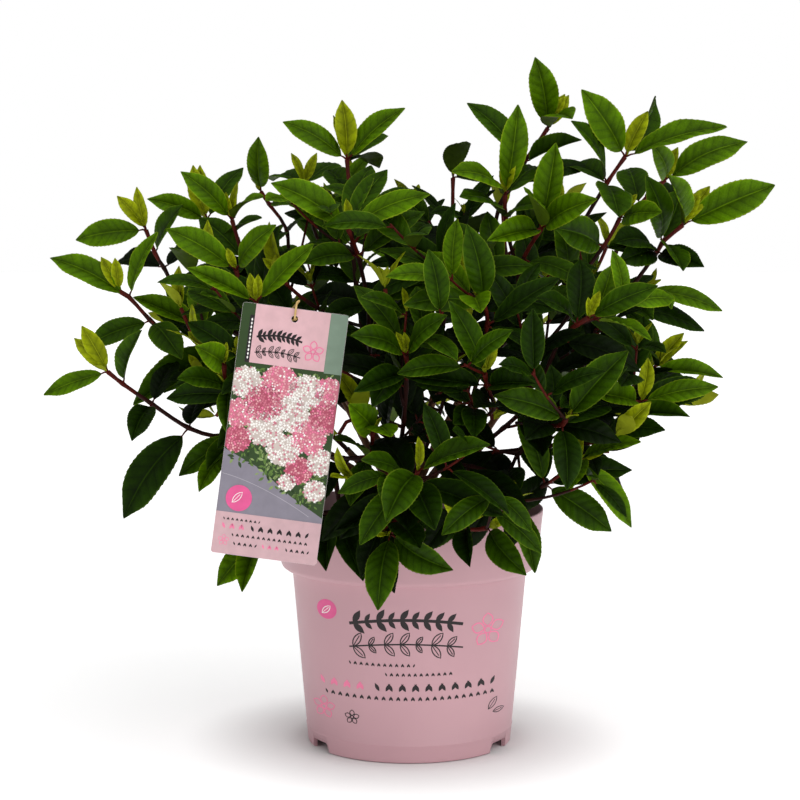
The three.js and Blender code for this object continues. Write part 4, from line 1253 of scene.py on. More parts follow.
class Finish:
    """A material built node by node."""

    def __init__(self, name, roughness, gloss=0.3):
        self.material = bpy.data.materials.new(name)
        self.material.use_nodes = True
        self.tree = self.material.node_tree
        self.shader = self.tree.nodes["Principled BSDF"]
        self.give(self.shader, {"Roughness": roughness, "Specular IOR Level": gloss})
        self.place = self.node("ShaderNodeTexCoord", "Object")
        self.height = None

    def give(self, node, inputs):
        """Each input gets its value or a link from another node's output."""
        for name, value in inputs.items():
            if isinstance(value, bpy.types.NodeSocket):
                self.tree.links.new(value, node.inputs[name])
            else:
                node.inputs[name].default_value = value

    def node(self, kind, output, inputs=None, **settings):
        """The output of a new node."""
        node = self.tree.nodes.new(kind)
        for name, value in settings.items():
            setattr(node, name, value)
        self.give(node, inputs or {})
        return node.outputs[output]

    def noise(self, scale, detail=3.0, stretch=None):
        inputs = {"Scale": scale, "Detail": detail, "Vector": self.mapped(stretch)}
        return self.node("ShaderNodeTexNoise", "Fac", inputs)

    def cells(self, scale, feature="DISTANCE_TO_EDGE"):
        inputs = {"Scale": scale, "Vector": self.place}
        return self.node("ShaderNodeTexVoronoi", "Distance", inputs, feature=feature)

    def mapped(self, stretch):
        if stretch is None:
            return self.place
        return self.node("ShaderNodeMapping", "Vector", {"Scale": stretch, "Vector": self.place})

    def ramp(self, source, *stops):
        output = self.node("ShaderNodeValToRGB", "Color", {"Fac": source})
        elements = output.node.color_ramp.elements
        while len(elements) < len(stops):
            elements.new(0.5)
        for element, (position, colour) in zip(elements, stops):
            element.position = position
            element.color = colour
        return output

    def colour(self, output):
        self.give(self.shader, {"Base Color": output})

    def rough(self, source, low, high):
        inputs = {"To Min": low, "To Max": high, "Value": source}
        self.give(self.shader, {"Roughness": self.node("ShaderNodeMapRange", "Result", inputs)})

    def bump(self, source, depth, strength=1.0):
        inputs = {"Distance": depth, "Strength": strength, "Height": source}
        if self.height:
            inputs["Normal"] = self.height
        self.height = self.node("ShaderNodeBump", "Normal", inputs)
        self.give(self.shader, {"Normal": self.height})

    def reckon(self, operation, first, second):
        return self.node("ShaderNodeMath", "Value", {0: first, 1: second}, operation=operation)

    def multiplied(self, first, second):
        inputs = {0: 1.0, 6: first, 7: second}
        return self.node("ShaderNodeMix", 2, inputs, data_type="RGBA", blend_type="MULTIPLY")

    def blade_places(self):
        """Across the blade from -1 to 1, and between side veins from 0 to 1."""
        spot = self.node("ShaderNodeUVMap", "UV", uv_map="blade")
        across = self.node("ShaderNodeSeparateXYZ", "X", {"Vector": spot})
        along = across.node.outputs["Y"]
        return self.reckon("ABSOLUTE", across, 1.0), self.reckon("PINGPONG", along, 1.0)

    def glow_through(self, colour, share):
        """Light that passes through a thin leaf."""
        through = self.node("ShaderNodeBsdfTranslucent", "BSDF", {"Color": colour})
        inputs = {"Fac": share, 1: self.shader.outputs["BSDF"], 2: through}
        mixed = self.node("ShaderNodeMixShader", "Shader", inputs)
        self.give(self.tree.nodes["Material Output"], {"Surface": mixed})


def grained(name, roughness, grain, low, high, gloss=0.3, between=(0.3, 0.7)):
    """A finish whose colour goes from one to another with a noise's grain, and that noise."""
    finish = Finish(name, roughness, gloss)
    noise = finish.noise(*grain)
    finish.colour(finish.ramp(noise, (between[0], low), (between[1], high)))
    return finish, noise


def leaf_finish(name, colour, roughness, through, vein_shaded=False):
    finish = Finish(name, roughness, 0.06)
    # A leaf with painted shade starts lighter, as its painted shade only darkens
    lift = 1.45 if vein_shaded else 1.0
    low, high = shade(colour, 0.7 * lift), shade(colour, 1.25 * lift)
    tint = finish.ramp(finish.noise(70.0, 4.0), (0.3, low), (0.7, high))
    # Painted shade: darker in the side veins' furrows and along the midrib's fold, lighter on the crests
    # between veins and towards the margin; the cells add pale net veins
    if vein_shaded:
        across, between = finish.blade_places()
        for source, stops in [
            (between, [(0.0, 0.7), (0.22, 0.92), (0.9, 1.04)]),
            (across, [(0.0, 0.56), (0.07, 0.38), (0.3, 0.62), (0.75, 0.86), (0.96, 1.06)]),
            (finish.cells(300.0), [(0.0, 1.12), (0.12, 0.97), (0.5, 0.9)]),
        ]:
            shade_and_net_veins = finish.ramp(source, *[(position, grey(value)) for position, value in stops])
            tint = finish.multiplied(tint, shade_and_net_veins)
        finish.bump(between, 0.0005, 0.6)
    finish.colour(tint)
    finish.rough(finish.noise(160.0), roughness - 0.06, roughness + 0.1)
    finish.bump(finish.cells(420.0), 0.00012)
    finish.bump(finish.noise(1900.0, 2.0), 0.00003)
    if through:
        finish.glow_through(shade(colour, 1.6), through)
    return finish.material


# Tones of leaves: upper side, midrib, underside and margin
# Apart from the young tone, these are lit and shaded copies of the leaves' greens, dealt out as painted
# light and shade
LEAF_TONES = {
    "deep": ((10, 24, 0), (18, 34, 1), (24, 40, 3), (28, 44, 3)),
    "mid": ((25, 47, 0), (36, 60, 2), (50, 70, 12), (58, 82, 10)),
    "fresh": ((45, 73, 0), (58, 88, 4), (70, 92, 20), (90, 114, 20)),
    "bright": ((74, 108, 0), (86, 118, 4), (92, 116, 22), (122, 146, 22)),
    "young": ((134, 146, 8), (150, 160, 18), (142, 152, 28), (160, 168, 40)),
}
# The tone of a spray by its least score of painted light, the ones that reach none are deep
TONE_STEPS = [("bright", 0.66), ("fresh", 0.36), ("mid", 0.0)]
# The height and the share of the crown's size at which a spray scores none, and a step of height
MIDDLE_HEIGHT = 330
MIDDLE_SHARE = 0.85
HEIGHT_STEP = 150
# How far from a spray's tip its own tone reaches; pairs further in are a tone darker as painted shade
OUTER_PAIRS = 30.0


def leaf_materials(tone):
    top, rib, under, margin = LEAF_TONES[tone]
    through = 0.05 if tone == "deep" else 0.1
    return [
        leaf_finish(f"leaf_{tone}", linear(*top), 0.42, through, vein_shaded=True),
        leaf_finish(f"leaf_rib_{tone}", linear(*rib), 0.5, 0.0),
        leaf_finish(f"leaf_under_{tone}", linear(*under), 0.6, through),
        leaf_finish(f"leaf_margin_{tone}", linear(*margin), 0.5, 0.0),
    ]


def tone_by_light(spray, random):
    """A spray's tone as painted light and shade: lighter high up and at the front, deep inside and low.
    """
    tip = spray["path"].at(1)
    outer = np.linalg.norm((tip - [0, 0, CROWN_CENTRE_HEIGHT]) / CROWN_HALF)
    score = 0.4 * (tip[2] - MIDDLE_HEIGHT) / HEIGHT_STEP
    score += 1.6 * (outer - MIDDLE_SHARE) + 0.5 * (random() - 0.5)
    return next((tone for tone, least in TONE_STEPS if score > least), "deep")


def bark_finish(name, colour, depth):
    low, high = shade(colour, 0.6), shade(colour, 1.35)
    grain = (220.0, 5.0, (1.0, 1.0, 0.25))
    finish, streaks = grained(name, 0.55, grain, low, high, 0.12, (0.32, 0.68))
    finish.rough(finish.noise(300.0), 0.42, 0.7)
    finish.bump(streaks, depth)
    finish.bump(finish.noise(1500.0, 2.0), depth * 0.3)
    return finish.material


# Twigs and petioles: a twig is red near its tip and maroon further in, a leaf's stalk is red
MAROON, RED = 0, 1
RED_REACH = 34
TWIG_SIDES = 8
TWIG_STEP = 9
NODE_SWELL = 0.3
NODE_SPREAD = 2.4
PETIOLE_SIDES = 5
PETIOLE_RADII = (1.05, 0.8, 0.6)


def add_twig_tube(heap, spray):
    path = spray["path"]
    foot, tip = spray["radii"]
    steps = max(6, int(path.length / TWIG_STEP))
    nodes = [node[0] for node in spray["nodes"]]
    shares = np.array(sorted({*np.linspace(0, 1, steps).round(4), *[round(n, 4) for n in nodes]}))
    radii = foot + (tip - foot) * shares
    for at in nodes:
        distance = np.abs(shares - at) * path.length
        radii = radii * (1 + NODE_SWELL * np.exp(-((distance / NODE_SPREAD) ** 2)))
    points, triangles = tube([path.at(share) for share in shares], radii, TWIG_SIDES)
    reach = np.linalg.norm(points[triangles[:, 0]] - path.at(1), axis=1)
    heap.add(points, triangles, np.where(reach < RED_REACH, RED, MAROON))


def add_leaf(heap, twigs, leaf, length, pattern):
    """A leaf and its stalk."""
    heap.add(*fit_pattern(pattern, leaf, length))
    start = leaf["node"]
    end = leaf_points(leaf, length, [(BLADE_FOOT + 0.02, 0, -0.002)])[0]
    middle = (start + end) / 2 + UP * 0.6
    twigs.add(*tube([start, middle, end], PETIOLE_RADII, PETIOLE_SIDES), RED)


# Young pairs at a shoot's tip: their length, and their angle to it as a share of the first one's
YOUNG_PAIRS = [(38, 1.0), (20, 0.5), (10, None)]
INNERMOST_SPREAD = 4
# The first pair's angle, the pairs' rise and how they turn round the shoot
YOUNG_SPREAD = (10, 22)
YOUNG_RISE = 0.35
YOUNG_LEAST_RISE = 0.15
YOUNG_TURN = 2.4


def young_leaves(spray, thicket, random):
    """The pale young pairs that close a shoot's tip."""
    path = spray["path"]
    if not spray["young"]:
        return []
    tip = path.at(1)
    along = unit(path.along(1) + UP * YOUNG_RISE)
    turn = facing_turn(along) + (random() - 0.5) * YOUNG_TURN
    scale = spray["young"] * (0.75 + 0.5 * random())
    spread = YOUNG_SPREAD[0] + YOUNG_SPREAD[1] * random()
    leaves = []
    for order, (size, share) in enumerate(YOUNG_PAIRS):
        angle = math.radians(spread * share if share else INNERMOST_SPREAD)
        for side in range(2):
            heading = turn + order * math.pi / 2 + side * math.pi
            leaf = leaf_frame(tip, along, heading, angle, YOUNG_LEAST_RISE, 0.0)
            forward = leaf["forward"]
            inward = -square(along, heading)
            # A young leaf faces its shoot, cupped over the tip
            leaf = leaf_axes(tip, forward, unit(inward - forward * inward.dot(forward)))
            length = size * scale * (0.9 + 0.2 * random())
            if order or not thicket.meets(leaf_surface(leaf, length)):
                leaves.append((leaf, length))
    return leaves


def build_crown():
    sprays, thicket = grow_crown()
    random = stream(733)
    heaps = {tone: Heap() for tone in LEAF_TONES}
    twigs = Heap()
    for spray in sprays:
        add_twig_tube(twigs, spray)
        tone = tone_by_light(spray, random)
        tip = spray["path"].at(1)
        for leaf, length in spray["leaves"]:
            pattern = MATURE[int(random() * len(MATURE))]
            # Painted shade: pairs further in than the outer ones take a tone darker
            inner = np.linalg.norm(leaf["node"] - tip) > OUTER_PAIRS
            add_leaf(heaps[DARKER[tone] if inner else tone], twigs, leaf, length, pattern)
        for leaf, length, pattern, kind in spray["fitted"]:
            add_leaf(heaps[kind], twigs, leaf, length, pattern)
        for leaf, length in young_leaves(spray, thicket, random):
            pattern = YOUNG[int(random() * len(YOUNG))]
            heaps["young"].add(*fit_pattern(pattern, leaf, length))
    for tone, heap in heaps.items():
        keep(heap.piece(f"leaves_{tone}", leaf_materials(tone)), "leaf", *FOLIAGE)
    materials = [
        bark_finish("twig_maroon", linear(44, 16, 12), 0.00012),
        bark_finish("twig_red", linear(80, 20, 12), 0.00008),
    ]
    keep(twigs.piece("twigs", materials), "bark", *FOLIAGE)


def keep(piece, slot, *nodes):
    """Registers a finished piece on the one body, in the place of its nodes."""
    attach(piece, "root")
    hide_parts(*nodes)


def solid(name, points, faces):
    """A piece from points and faces of any number of corners."""
    mesh = bpy.data.meshes.new(name)
    mesh.from_pydata([tuple(c * MM for c in point) for point in points], [], faces)
    return linked(name, mesh)


def lathe(name, profile, sides, material):
    """A turned piece from a profile of radius and height, foot first and from axis to axis."""
    points, faces, rings = [], [], []
    for radius, height in profile:
        turns = turns_of(sides) if radius else [0.0]
        rings.append([len(points) + k for k in range(len(turns))])
        points += [(radius * math.cos(a), radius * math.sin(a), height) for a in turns]
    for low, high in zip(rings, rings[1:]):
        for k in range(sides):
            following = (k + 1) % sides
            corners = [low[k % len(low)], low[following % len(low)]]
            corners += [high[following % len(high)], high[k % len(high)]]
            faces.append(list(dict.fromkeys(corners)))
    piece = solid(name, points, faces)
    piece.data.materials.append(material)
    piece.data.polygons.foreach_set("use_smooth", [True] * len(faces))
    piece.data.update()
    return piece


def arc(centre, radius, start, end, steps):
    turns = np.radians(np.linspace(start, end, steps + 1))
    return [(centre[0] + radius * math.cos(t), centre[1] + radius * math.sin(t)) for t in turns]


# Pot
POT_SIDES = 180
MOULD_LINE = 15.0
FOOT_ROUND = 1.6
RIM_ROUND = 0.95
RIM_BAND = 190


def body_radius(height):
    return BASE_RADIUS + (BODY_TOP_RADIUS - BASE_RADIUS) * height / (COLLAR_FOOT - 1)


def pot_profile():
    ring_inner = BASE_RADIUS - FOOT_RING
    pad = ring_inner - CHANNEL_WIDTH
    channel_top = CHANNEL_HEIGHT + FLOOR - 0.5
    line = body_radius(MOULD_LINE)
    outside = [
        (0, 0), (pad - 5, 0), (pad - 3, 0.6), (pad - 0.6, CHANNEL_HEIGHT - 0.6),
        (pad + 0.6, CHANNEL_HEIGHT), (ring_inner - 0.8, CHANNEL_HEIGHT),
        (ring_inner, CHANNEL_HEIGHT - 0.8), (ring_inner, 0.4), (ring_inner + 0.5, 0),
        *arc((BASE_RADIUS - FOOT_ROUND, FOOT_ROUND), FOOT_ROUND, -80, 0, 4),
        (line - 0.02, MOULD_LINE - 0.7), (line + 0.28, MOULD_LINE - 0.35),
        (line + 0.28, MOULD_LINE + 0.35), (line - 0.02, MOULD_LINE + 0.7),
        (body_radius(60), 60), (body_radius(100), 100), (body_radius(140), 140),
        (BODY_TOP_RADIUS, COLLAR_FOOT - 2), (BODY_TOP_RADIUS + 0.5, COLLAR_FOOT - 0.6),
        (BODY_TOP_RADIUS + 1.6, COLLAR_FOOT),
        *arc((COLLAR_FOOT_RADIUS - COLLAR_CORNER, COLLAR_FOOT + COLLAR_CORNER), COLLAR_CORNER,
             -88, -2, 8),
        (RIM_RADIUS - 1.2, RIM_BAND), (RIM_RADIUS - 0.1, POT_HEIGHT - 2.6),
        *arc((RIM_RADIUS - RIM_ROUND - 0.1, POT_HEIGHT - RIM_ROUND), RIM_ROUND, 0, 180, 8),
    ]
    inside = [
        (RIM_RADIUS - WALL - 0.5, RIM_BAND), (COLLAR_FOOT_RADIUS - WALL, COLLAR_FOOT + COLLAR_CORNER),
        (COLLAR_FOOT_RADIUS - WALL - 2, COLLAR_FOOT + WALL),
        (BODY_TOP_RADIUS - WALL, COLLAR_FOOT + 1),
        (BASE_RADIUS - WALL + 0.9, channel_top), (pad - 2.5, channel_top),
        (pad - 5.5, FLOOR), (0, FLOOR),
    ]
    return outside + inside


def pot_finish():
    pale, deep = linear(202, 160, 167), linear(196, 154, 162)
    finish, _ = grained("pot_pink", 0.4, (9.0, 4.0), deep, pale)
    finish.rough(finish.noise(45.0, 5.0), 0.33, 0.5)
    finish.bump(finish.noise(900.0, 3.0), 0.00002)
    finish.bump(finish.noise(26.0, 2.0, (1.0, 1.0, 0.15)), 0.00018)
    return finish.material


def notch_solid(bearing):
    """What a notch takes out of the foot: it narrows upwards on rounded shoulders."""
    outward, across = place((bearing, 1, 0)), place((bearing + 90, 1, 0))
    side = [(NOTCH_WIDTH / 2, -4), (NOTCH_WIDTH / 2, 3),
            (NOTCH_WIDTH / 2 - 1.4, NOTCH_HEIGHT - 1.2), (NOTCH_WIDTH / 2 - 3.2, NOTCH_HEIGHT)]
    shape = [(-side[0][0], side[0][1]), *side, *[(-a, z) for a, z in side[:0:-1]]]
    count = len(shape)
    points = [
        outward * reach + across * a + UP * z
        for reach in (BASE_RADIUS + NOTCH_OUT, BASE_RADIUS - NOTCH_IN)
        for a, z in shape
    ]
    faces = [list(range(count)), list(range(2 * count - 1, count - 1, -1))]
    faces += [[(k + 1) % count, k, k + count, (k + 1) % count + count] for k in range(count)]
    return solid("cut", points, faces)


def build_pot():
    pot = lathe("pot_shell", pot_profile(), POT_SIDES, pot_finish())
    for bearing in NOTCH_BEARINGS:
        cutter = notch_solid(bearing)
        cut = pot.modifiers.new("notch", "BOOLEAN")
        cut.operation = "DIFFERENCE"
        cut.solver = "EXACT"
        cut.object = cutter
        apply_modifiers(pot)
        bpy.data.objects.remove(cutter)
    keep(pot, "pot", "pot")


def apply_modifiers(piece):
    graph = bpy.context.evaluated_depsgraph_get()
    mesh = bpy.data.meshes.new_from_object(piece.evaluated_get(graph))
    piece.modifiers.clear()
    old = piece.data
    piece.data = mesh
    bpy.data.meshes.remove(old)


# Growing mix, the woody base and its boughs
PEAT_RADIUS = 111.4
PEAT_FOOT = 160.0
PEAT_RINGS = 24
PEAT_SIDES = 96
# How far below its level the peat's surface lies, how far in from the wall it starts to sink, how
# deep it sinks there and the share of its radius that its foot has
PEAT_BELOW = 1.8
PEAT_EDGE = 14
PEAT_SINK = 4.5
PEAT_TAPER = 0.985
# Crumbs that lie on the peat: how far from the wall, their least size and how much larger some
# are, how uneven their corners lie, and their rings as radius and height
CRUMB_CLEAR = 4
CRUMB_LEAST = 0.8
CRUMB_RANGE = 2.0
CRUMB_SKEW = 0.5
CRUMB_LUMPS = (0.7, 0.6)
CRUMBS = 900
CRUMB_SIDES = 5
CRUMB_RINGS = [(0.85, -0.45), (0.9, 0.4)]
CRUMB_FLAT = 0.6
# A bough's rings, how it swells at its foot, and the bark's depth and scale on boughs and trunk
BOUGH_RING_STEP = 3
BOUGH_LEAST_RINGS = 12
BOUGH_SWELL = 0.35
SWELL_REACH = 5
BOUGH_BARK = (0.35, 1.3)
TRUNK_BARK = (0.9, 0.55)
BOUGH_SIDES = 18
KNUCKLE_SIDES = 72


def on_peat(x, y):
    """The point of the peat's gently heaved surface there, which sinks towards the wall."""
    radius = math.hypot(x, y)
    lift = 0.9 * math.sin(x * 0.21 + 1.3 * math.sin(y * 0.13)) + 0.7 * math.sin(y * 0.27 + x * 0.09)
    edge = max(0.0, (radius - PEAT_RADIUS + PEAT_EDGE) / PEAT_EDGE)
    height = PEAT_LEVEL - PEAT_BELOW + lift * (1 - edge) - PEAT_SINK * edge * edge
    return np.array([x, y, height])


def build_peat():
    grain, dark, light = (520.0, 6.0), linear(16, 9, 5), linear(58, 38, 24)
    finish, noise = grained("growing_mix", 0.95, grain, dark, light, between=(0.35, 0.7))
    finish.bump(finish.cells(260.0, "F1"), 0.0016)
    finish.bump(noise, 0.0006)
    heap = Heap()
    rings = [
        [on_peat(x, y) for x, y, _ in level_ring(PEAT_RADIUS * ring / PEAT_RINGS, 0, PEAT_SIDES)]
        for ring in range(1, PEAT_RINGS + 1)
    ]
    rings.append([(x * PEAT_TAPER, y * PEAT_TAPER, PEAT_FOOT) for x, y, _ in rings[-1]])
    points, triangles = skin(rings, on_peat(0, 0), (0, 0, PEAT_FOOT))
    heap.add(points, triangles[:, ::-1])
    random = stream(811)
    for _ in range(CRUMBS):
        angle = random() * FULL_TURN
        reach = math.sqrt(random()) * (PEAT_RADIUS - CRUMB_CLEAR)
        size = CRUMB_LEAST + CRUMB_RANGE * random() ** 2
        centre = on_peat(reach * math.cos(angle), reach * math.sin(angle))
        add_crumb(heap, centre, size, random)
    keep(heap.piece("growing_mix", [finish.material]), "peat", "peat")


def add_crumb(heap, centre, size, random):
    rings = []
    for radius, height in CRUMB_RINGS:
        ring = []
        for k in range(CRUMB_SIDES):
            turn = (k + CRUMB_SKEW * random()) / CRUMB_SIDES * FULL_TURN
            reach = size * radius * (CRUMB_LUMPS[0] + CRUMB_LUMPS[1] * random())
            lift = size * height * CRUMB_FLAT
            ring.append(centre + [reach * math.cos(turn), reach * math.sin(turn), lift])
        rings.append(ring)
    half = UP * size * CRUMB_FLAT
    heap.add(*skin(rings, centre - half, centre + half))


def ripple(points, depth, scale):
    """Bark relief: long ridges round a stem, as offsets by place."""
    x, y, z = (points[:, k] * scale for k in range(3))
    ridges = np.sin(x * 2.1 + np.sin(z * 0.5) * 2) * np.sin(y * 2.3 + np.cos(z * 0.4) * 2)
    return depth * (0.6 * ridges + 0.4 * np.sin(z * 1.1 + x * 0.7 - y * 0.9))


def build_bark():
    heap = Heap()
    for path in bough_paths.values():
        steps = max(BOUGH_LEAST_RINGS, int(path.length / BOUGH_RING_STEP))
        points = np.array([path.at(share) for share in np.linspace(0, 1, steps)])
        run = np.linspace(0, path.length, steps)
        swell = 1 + BOUGH_SWELL * np.exp(-((run / SWELL_REACH) ** 2))
        radii = np.linspace(BOUGH_FOOT_RADIUS, BOUGH_TIP_RADIUS, steps) * swell
        shape, triangles = tube(points, radii, BOUGH_SIDES)
        centres = np.concatenate([np.repeat(points, BOUGH_SIDES, axis=0), points[:1], points[-1:]])
        away = unit_rows(shape - centres)
        heap.add(shape + away * ripple(shape, *BOUGH_BARK)[:, None], triangles)
    turns = turns_of(KNUCKLE_SIDES)
    rings = []
    for radius, height in trunk_profile():
        lobes = 1 + 0.05 * np.sin(5 * turns + height * 0.12) + 0.03 * np.sin(9 * turns)
        rings.append(level_ring(radius * lobes, height, KNUCKLE_SIDES))
    top = TRUNK_CENTRE + UP * DOME_RADIUS
    points, triangles = skin(rings, UP * TRUNK_FOOT, top)
    outward = unit_rows(points - TRUNK_CENTRE + UP * 4)
    points += outward * ripple(points, *TRUNK_BARK)[:, None]
    points[:KNUCKLE_SIDES, 2] = TRUNK_FOOT
    heap.add(points, triangles)
    bark = bark_finish("bark", linear(98, 66, 46), 0.0006)
    nodes = ["trunk", *[f"bough_{name}" for name in BOUGHS]]
    keep(heap.piece("bark_relief", [bark]), "bark", *nodes)


def trunk_profile():
    flare = [(27.0, 0), (23.0, 1.2), (20.0, 2.5), (16.5, 4.5), (14.0, 7), (14.6, 9)]
    dome = arc((0, TRUNK_CENTRE[2]), DOME_RADIUS, -15, 82.5, 13)
    return [*[(radius, TRUNK_FOOT + height) for radius, height in flare], *dome]


# Label, its print and its tie
CARD_ROUND = 2.0
PRINT_STEP = 0.045
LINE_HEIGHT = 0.04


def rounded(left, bottom, right, top, radius, steps=5):
    corners = [(right - radius, top - radius, 0), (left + radius, top - radius, 90),
               (left + radius, bottom + radius, 180), (right - radius, bottom + radius, 270)]
    return [spot for x, y, start in corners for spot in arc((x, y), radius, start, start + 90, steps)]


def circle(x, y, radius, steps=24):
    return arc((x, y), radius, 0, 360 * (steps - 1) / steps, steps - 1)


def petal(x, y, turn, length, width):
    """A pointed oval from a foot point."""
    shares = np.linspace(0, 1, 7)
    spots = [(t * length, width / 2 * math.sin(math.pi * t) ** 0.8) for t in shares[:-1]]
    spots += [(t * length, -width / 2 * math.sin(math.pi * t) ** 0.8) for t in shares[:0:-1]]
    c, s = math.cos(turn), math.sin(turn)
    return [(x + a * c - b * s, y + a * s + b * c) for a, b in spots]


def floret(x, y, radius, turn):
    """A star of four petals."""
    tips = [(radius if k % 2 == 0 else radius * 0.5, turn + k * math.pi / 4) for k in range(8)]
    return [(x + reach * math.cos(angle), y + reach * math.sin(angle)) for reach, angle in tips]


def plate(heap, outline, holes, low, high, place_on, kind=0):
    """A thin closed plate from an outline, with holes, between two levels."""
    loops = [outline, *holes]
    flat = [Vector((x, y, 0)) for loop in loops for x, y in loop]
    count = len(flat)
    points = [place_on(p.x, p.y, level) for level in (low, high) for p in flat]
    triangles = []
    for a, b, c in tessellate([[Vector((x, y, 0)) for x, y in loop] for loop in loops]):
        if (flat[b] - flat[a]).cross(flat[c] - flat[a]).z < 0:
            b, c = c, b
        triangles += [(a + count, b + count, c + count), (a, c, b)]
    start = 0
    for number, loop in enumerate(loops):
        area = sum(p[0] * q[1] - q[0] * p[1] for p, q in zip(loop, [*loop[1:], loop[0]]))
        for k in range(len(loop)):
            a, b = start + k, start + (k + 1) % len(loop)
            if (area > 0) != (number == 0):
                a, b = b, a
            triangles += [(a, b, b + count), (a, b + count, a + count)]
        start += len(loop)
    heap.add(points, triangles, kind)


class Print:
    """Shapes of ink on a surface, each at the present level above it."""

    LEAF_SHARES = np.array([0.0, 0.06, 0.16, 0.3, 0.46, 0.62, 0.78, 0.92, 1.0])
    # Leaves in a row: their step and width as shares of their length, and their lean by turns
    ROW_STEP = 0.72
    ROW_WIDTH = 0.4
    ROW_LEAN = (118, 62)
    # Leaves on a garland: their angle to the stem and the width of filled and of open ones
    GARLAND_TURN = 52
    FILLED_WIDTH = 0.44
    OPEN_WIDTH = 0.42

    def __init__(self, place_on, inks, level=0.0):
        self.place_on, self.inks, self.level = place_on, list(inks), level
        self.heap = Heap()

    def area(self, outline, low, high, ink, holes=()):
        plate(self.heap, outline, holes, low, high, self.place_on, self.inks.index(ink))

    def ribbon(self, points, width, ink, closed=False, thickness=LINE_HEIGHT):
        """A thin line along points, as wide as given all along or at each point."""
        points = np.array(points, float)
        if closed:
            around = np.concatenate([points[-1:], points, points[:1]])
            tangents = unit_rows(around[2:] - around[:-2])
        else:
            tangents = unit_rows(np.gradient(points, axis=0))
        widths = np.broadcast_to(np.asarray(width, float), len(points))
        aside = np.stack([-tangents[:, 1], tangents[:, 0]], axis=1) * widths[:, None] / 2
        low, high = self.level, self.level + thickness
        rings = [
            [self.place_on(*spot, level) for spot, level in
             ((left, low), (right, low), (right, high), (left, high))]
            for left, right in zip(points + aside, points - aside)
        ]
        rows, triangles = skin(rings, closed=closed)
        if not closed:
            a, b, c, d = range(len(rows) - 4, len(rows))
            triangles = np.concatenate([triangles, [(0, 2, 1), (0, 3, 2), (a, b, c), (a, c, d)]])
        self.heap.add(rows, triangles[:, ::-1], self.inks.index(ink))

    def disc(self, x, y, radius, thickness, ink, rings=4, sides=36):
        """A disc in rings, so that it follows a curved surface."""
        layers = []
        for level in (self.level, self.level + thickness):
            circles = [level_ring(radius * ring / rings, 0, sides) for ring in range(1, rings + 1)]
            spots = [[self.place_on(x + a, y + b, level) for a, b, _ in ring] for ring in circles]
            layers.append(skin(spots, self.place_on(x, y, level)))
        (low, below), (high, above) = layers
        count = len(low)
        rim = (rings - 1) * sides
        walls = skin([low[rim:rim + sides], high[rim:rim + sides]])[1]
        walls = np.where(walls < sides, walls + rim, walls - sides + rim + count)
        triangles = np.concatenate([below, above[:, ::-1] + count, walls])
        self.heap.add(np.concatenate([low, high]), triangles, self.inks.index(ink))

    def line_leaf(self, x, y, turn, length, width, ink, line=0.5):
        """A leaf in outline with its midrib."""
        self.ribbon(petal(x, y, turn, length, width), line, ink, closed=True)
        reaches = [t * length for t in (0, 0.4, 0.8)]
        rib = [(x + reach * math.cos(turn), y + reach * math.sin(turn)) for reach in reaches]
        self.ribbon(rib, line * 0.8, ink)

    def line_flower(self, x, y, radius, ink, line, petals=5):
        """A round open flower in outline: a centre ring and its petals."""
        self.ribbon(circle(x, y, radius * 0.2, 14), line, ink, closed=True)
        for k in range(petals):
            turn = math.radians(90 + k * 360 / petals)
            foot = (x + radius * 0.22 * math.cos(turn), y + radius * 0.22 * math.sin(turn))
            self.ribbon(petal(*foot, turn, radius * 0.8, radius * 0.62), line, ink, closed=True)

    def solid_leaf(self, x, y, turn, length, width, ink):
        """A filled leaf from its foot to its point."""
        reaches = self.LEAF_SHARES * length
        points = [(x + reach * math.cos(turn), y + reach * math.sin(turn)) for reach in reaches]
        widths = width * np.maximum(np.sin(math.pi * self.LEAF_SHARES**0.9), 0.04)
        self.ribbon(points, widths, ink)

    def leaf_rows(self, rows):
        """Borders of small filled leaves that lean to and fro: left, right, height, size, ink."""
        for left, right, y, size, ink in rows:
            step = size * self.ROW_STEP
            for number in range(int((right - left) / step)):
                turn = math.radians(self.ROW_LEAN[number % 2])
                x = left + (number + 0.5) * step
                self.solid_leaf(x, y, turn, size, size * self.ROW_WIDTH, ink)

    def garland(self, left, right, middle, leaf_length, line, filled=False):
        """A bowed dark stem with paired leaves along it."""
        stem = bezier((left, middle, right), 30)
        self.ribbon(stem, line * 1.3, "dark")
        for number in range(1, 28, 3 if filled else 4):
            a, b = stem[number], stem[number + 1]
            turn = math.atan2(b[1] - a[1], b[0] - a[0])
            for side in (1, -1):
                heading = turn + side * math.radians(self.GARLAND_TURN)
                size = leaf_length * (0.8 + 0.2 * math.sin(number))
                if filled:
                    self.solid_leaf(*a, heading, size, size * self.FILLED_WIDTH, "dark")
                else:
                    self.line_leaf(*a, heading, size, size * self.OPEN_WIDTH, "dark", line)


INKS = {
    "pink": (222, 180, 185),
    "pink_low": (206, 170, 175),
    "dark": (38, 32, 34),
    "magenta": (226, 92, 148),
    "blush": (238, 128, 164),
    "white": (250, 247, 242),
    "cream": (206, 192, 184),
    "rose": (206, 116, 136),
    "blush_pale": (232, 176, 180),
    "deep_rose": (176, 80, 102),
    "leaf": (92, 122, 56),
    "dark_leaf": (48, 70, 34),
    "leaf_pale": (138, 160, 98),
    "ground": (136, 131, 143),
    "joint": (170, 165, 174),
    "mist": (126, 146, 128),
}
POT_INKS = ["dark", "magenta", "blush", "white"]


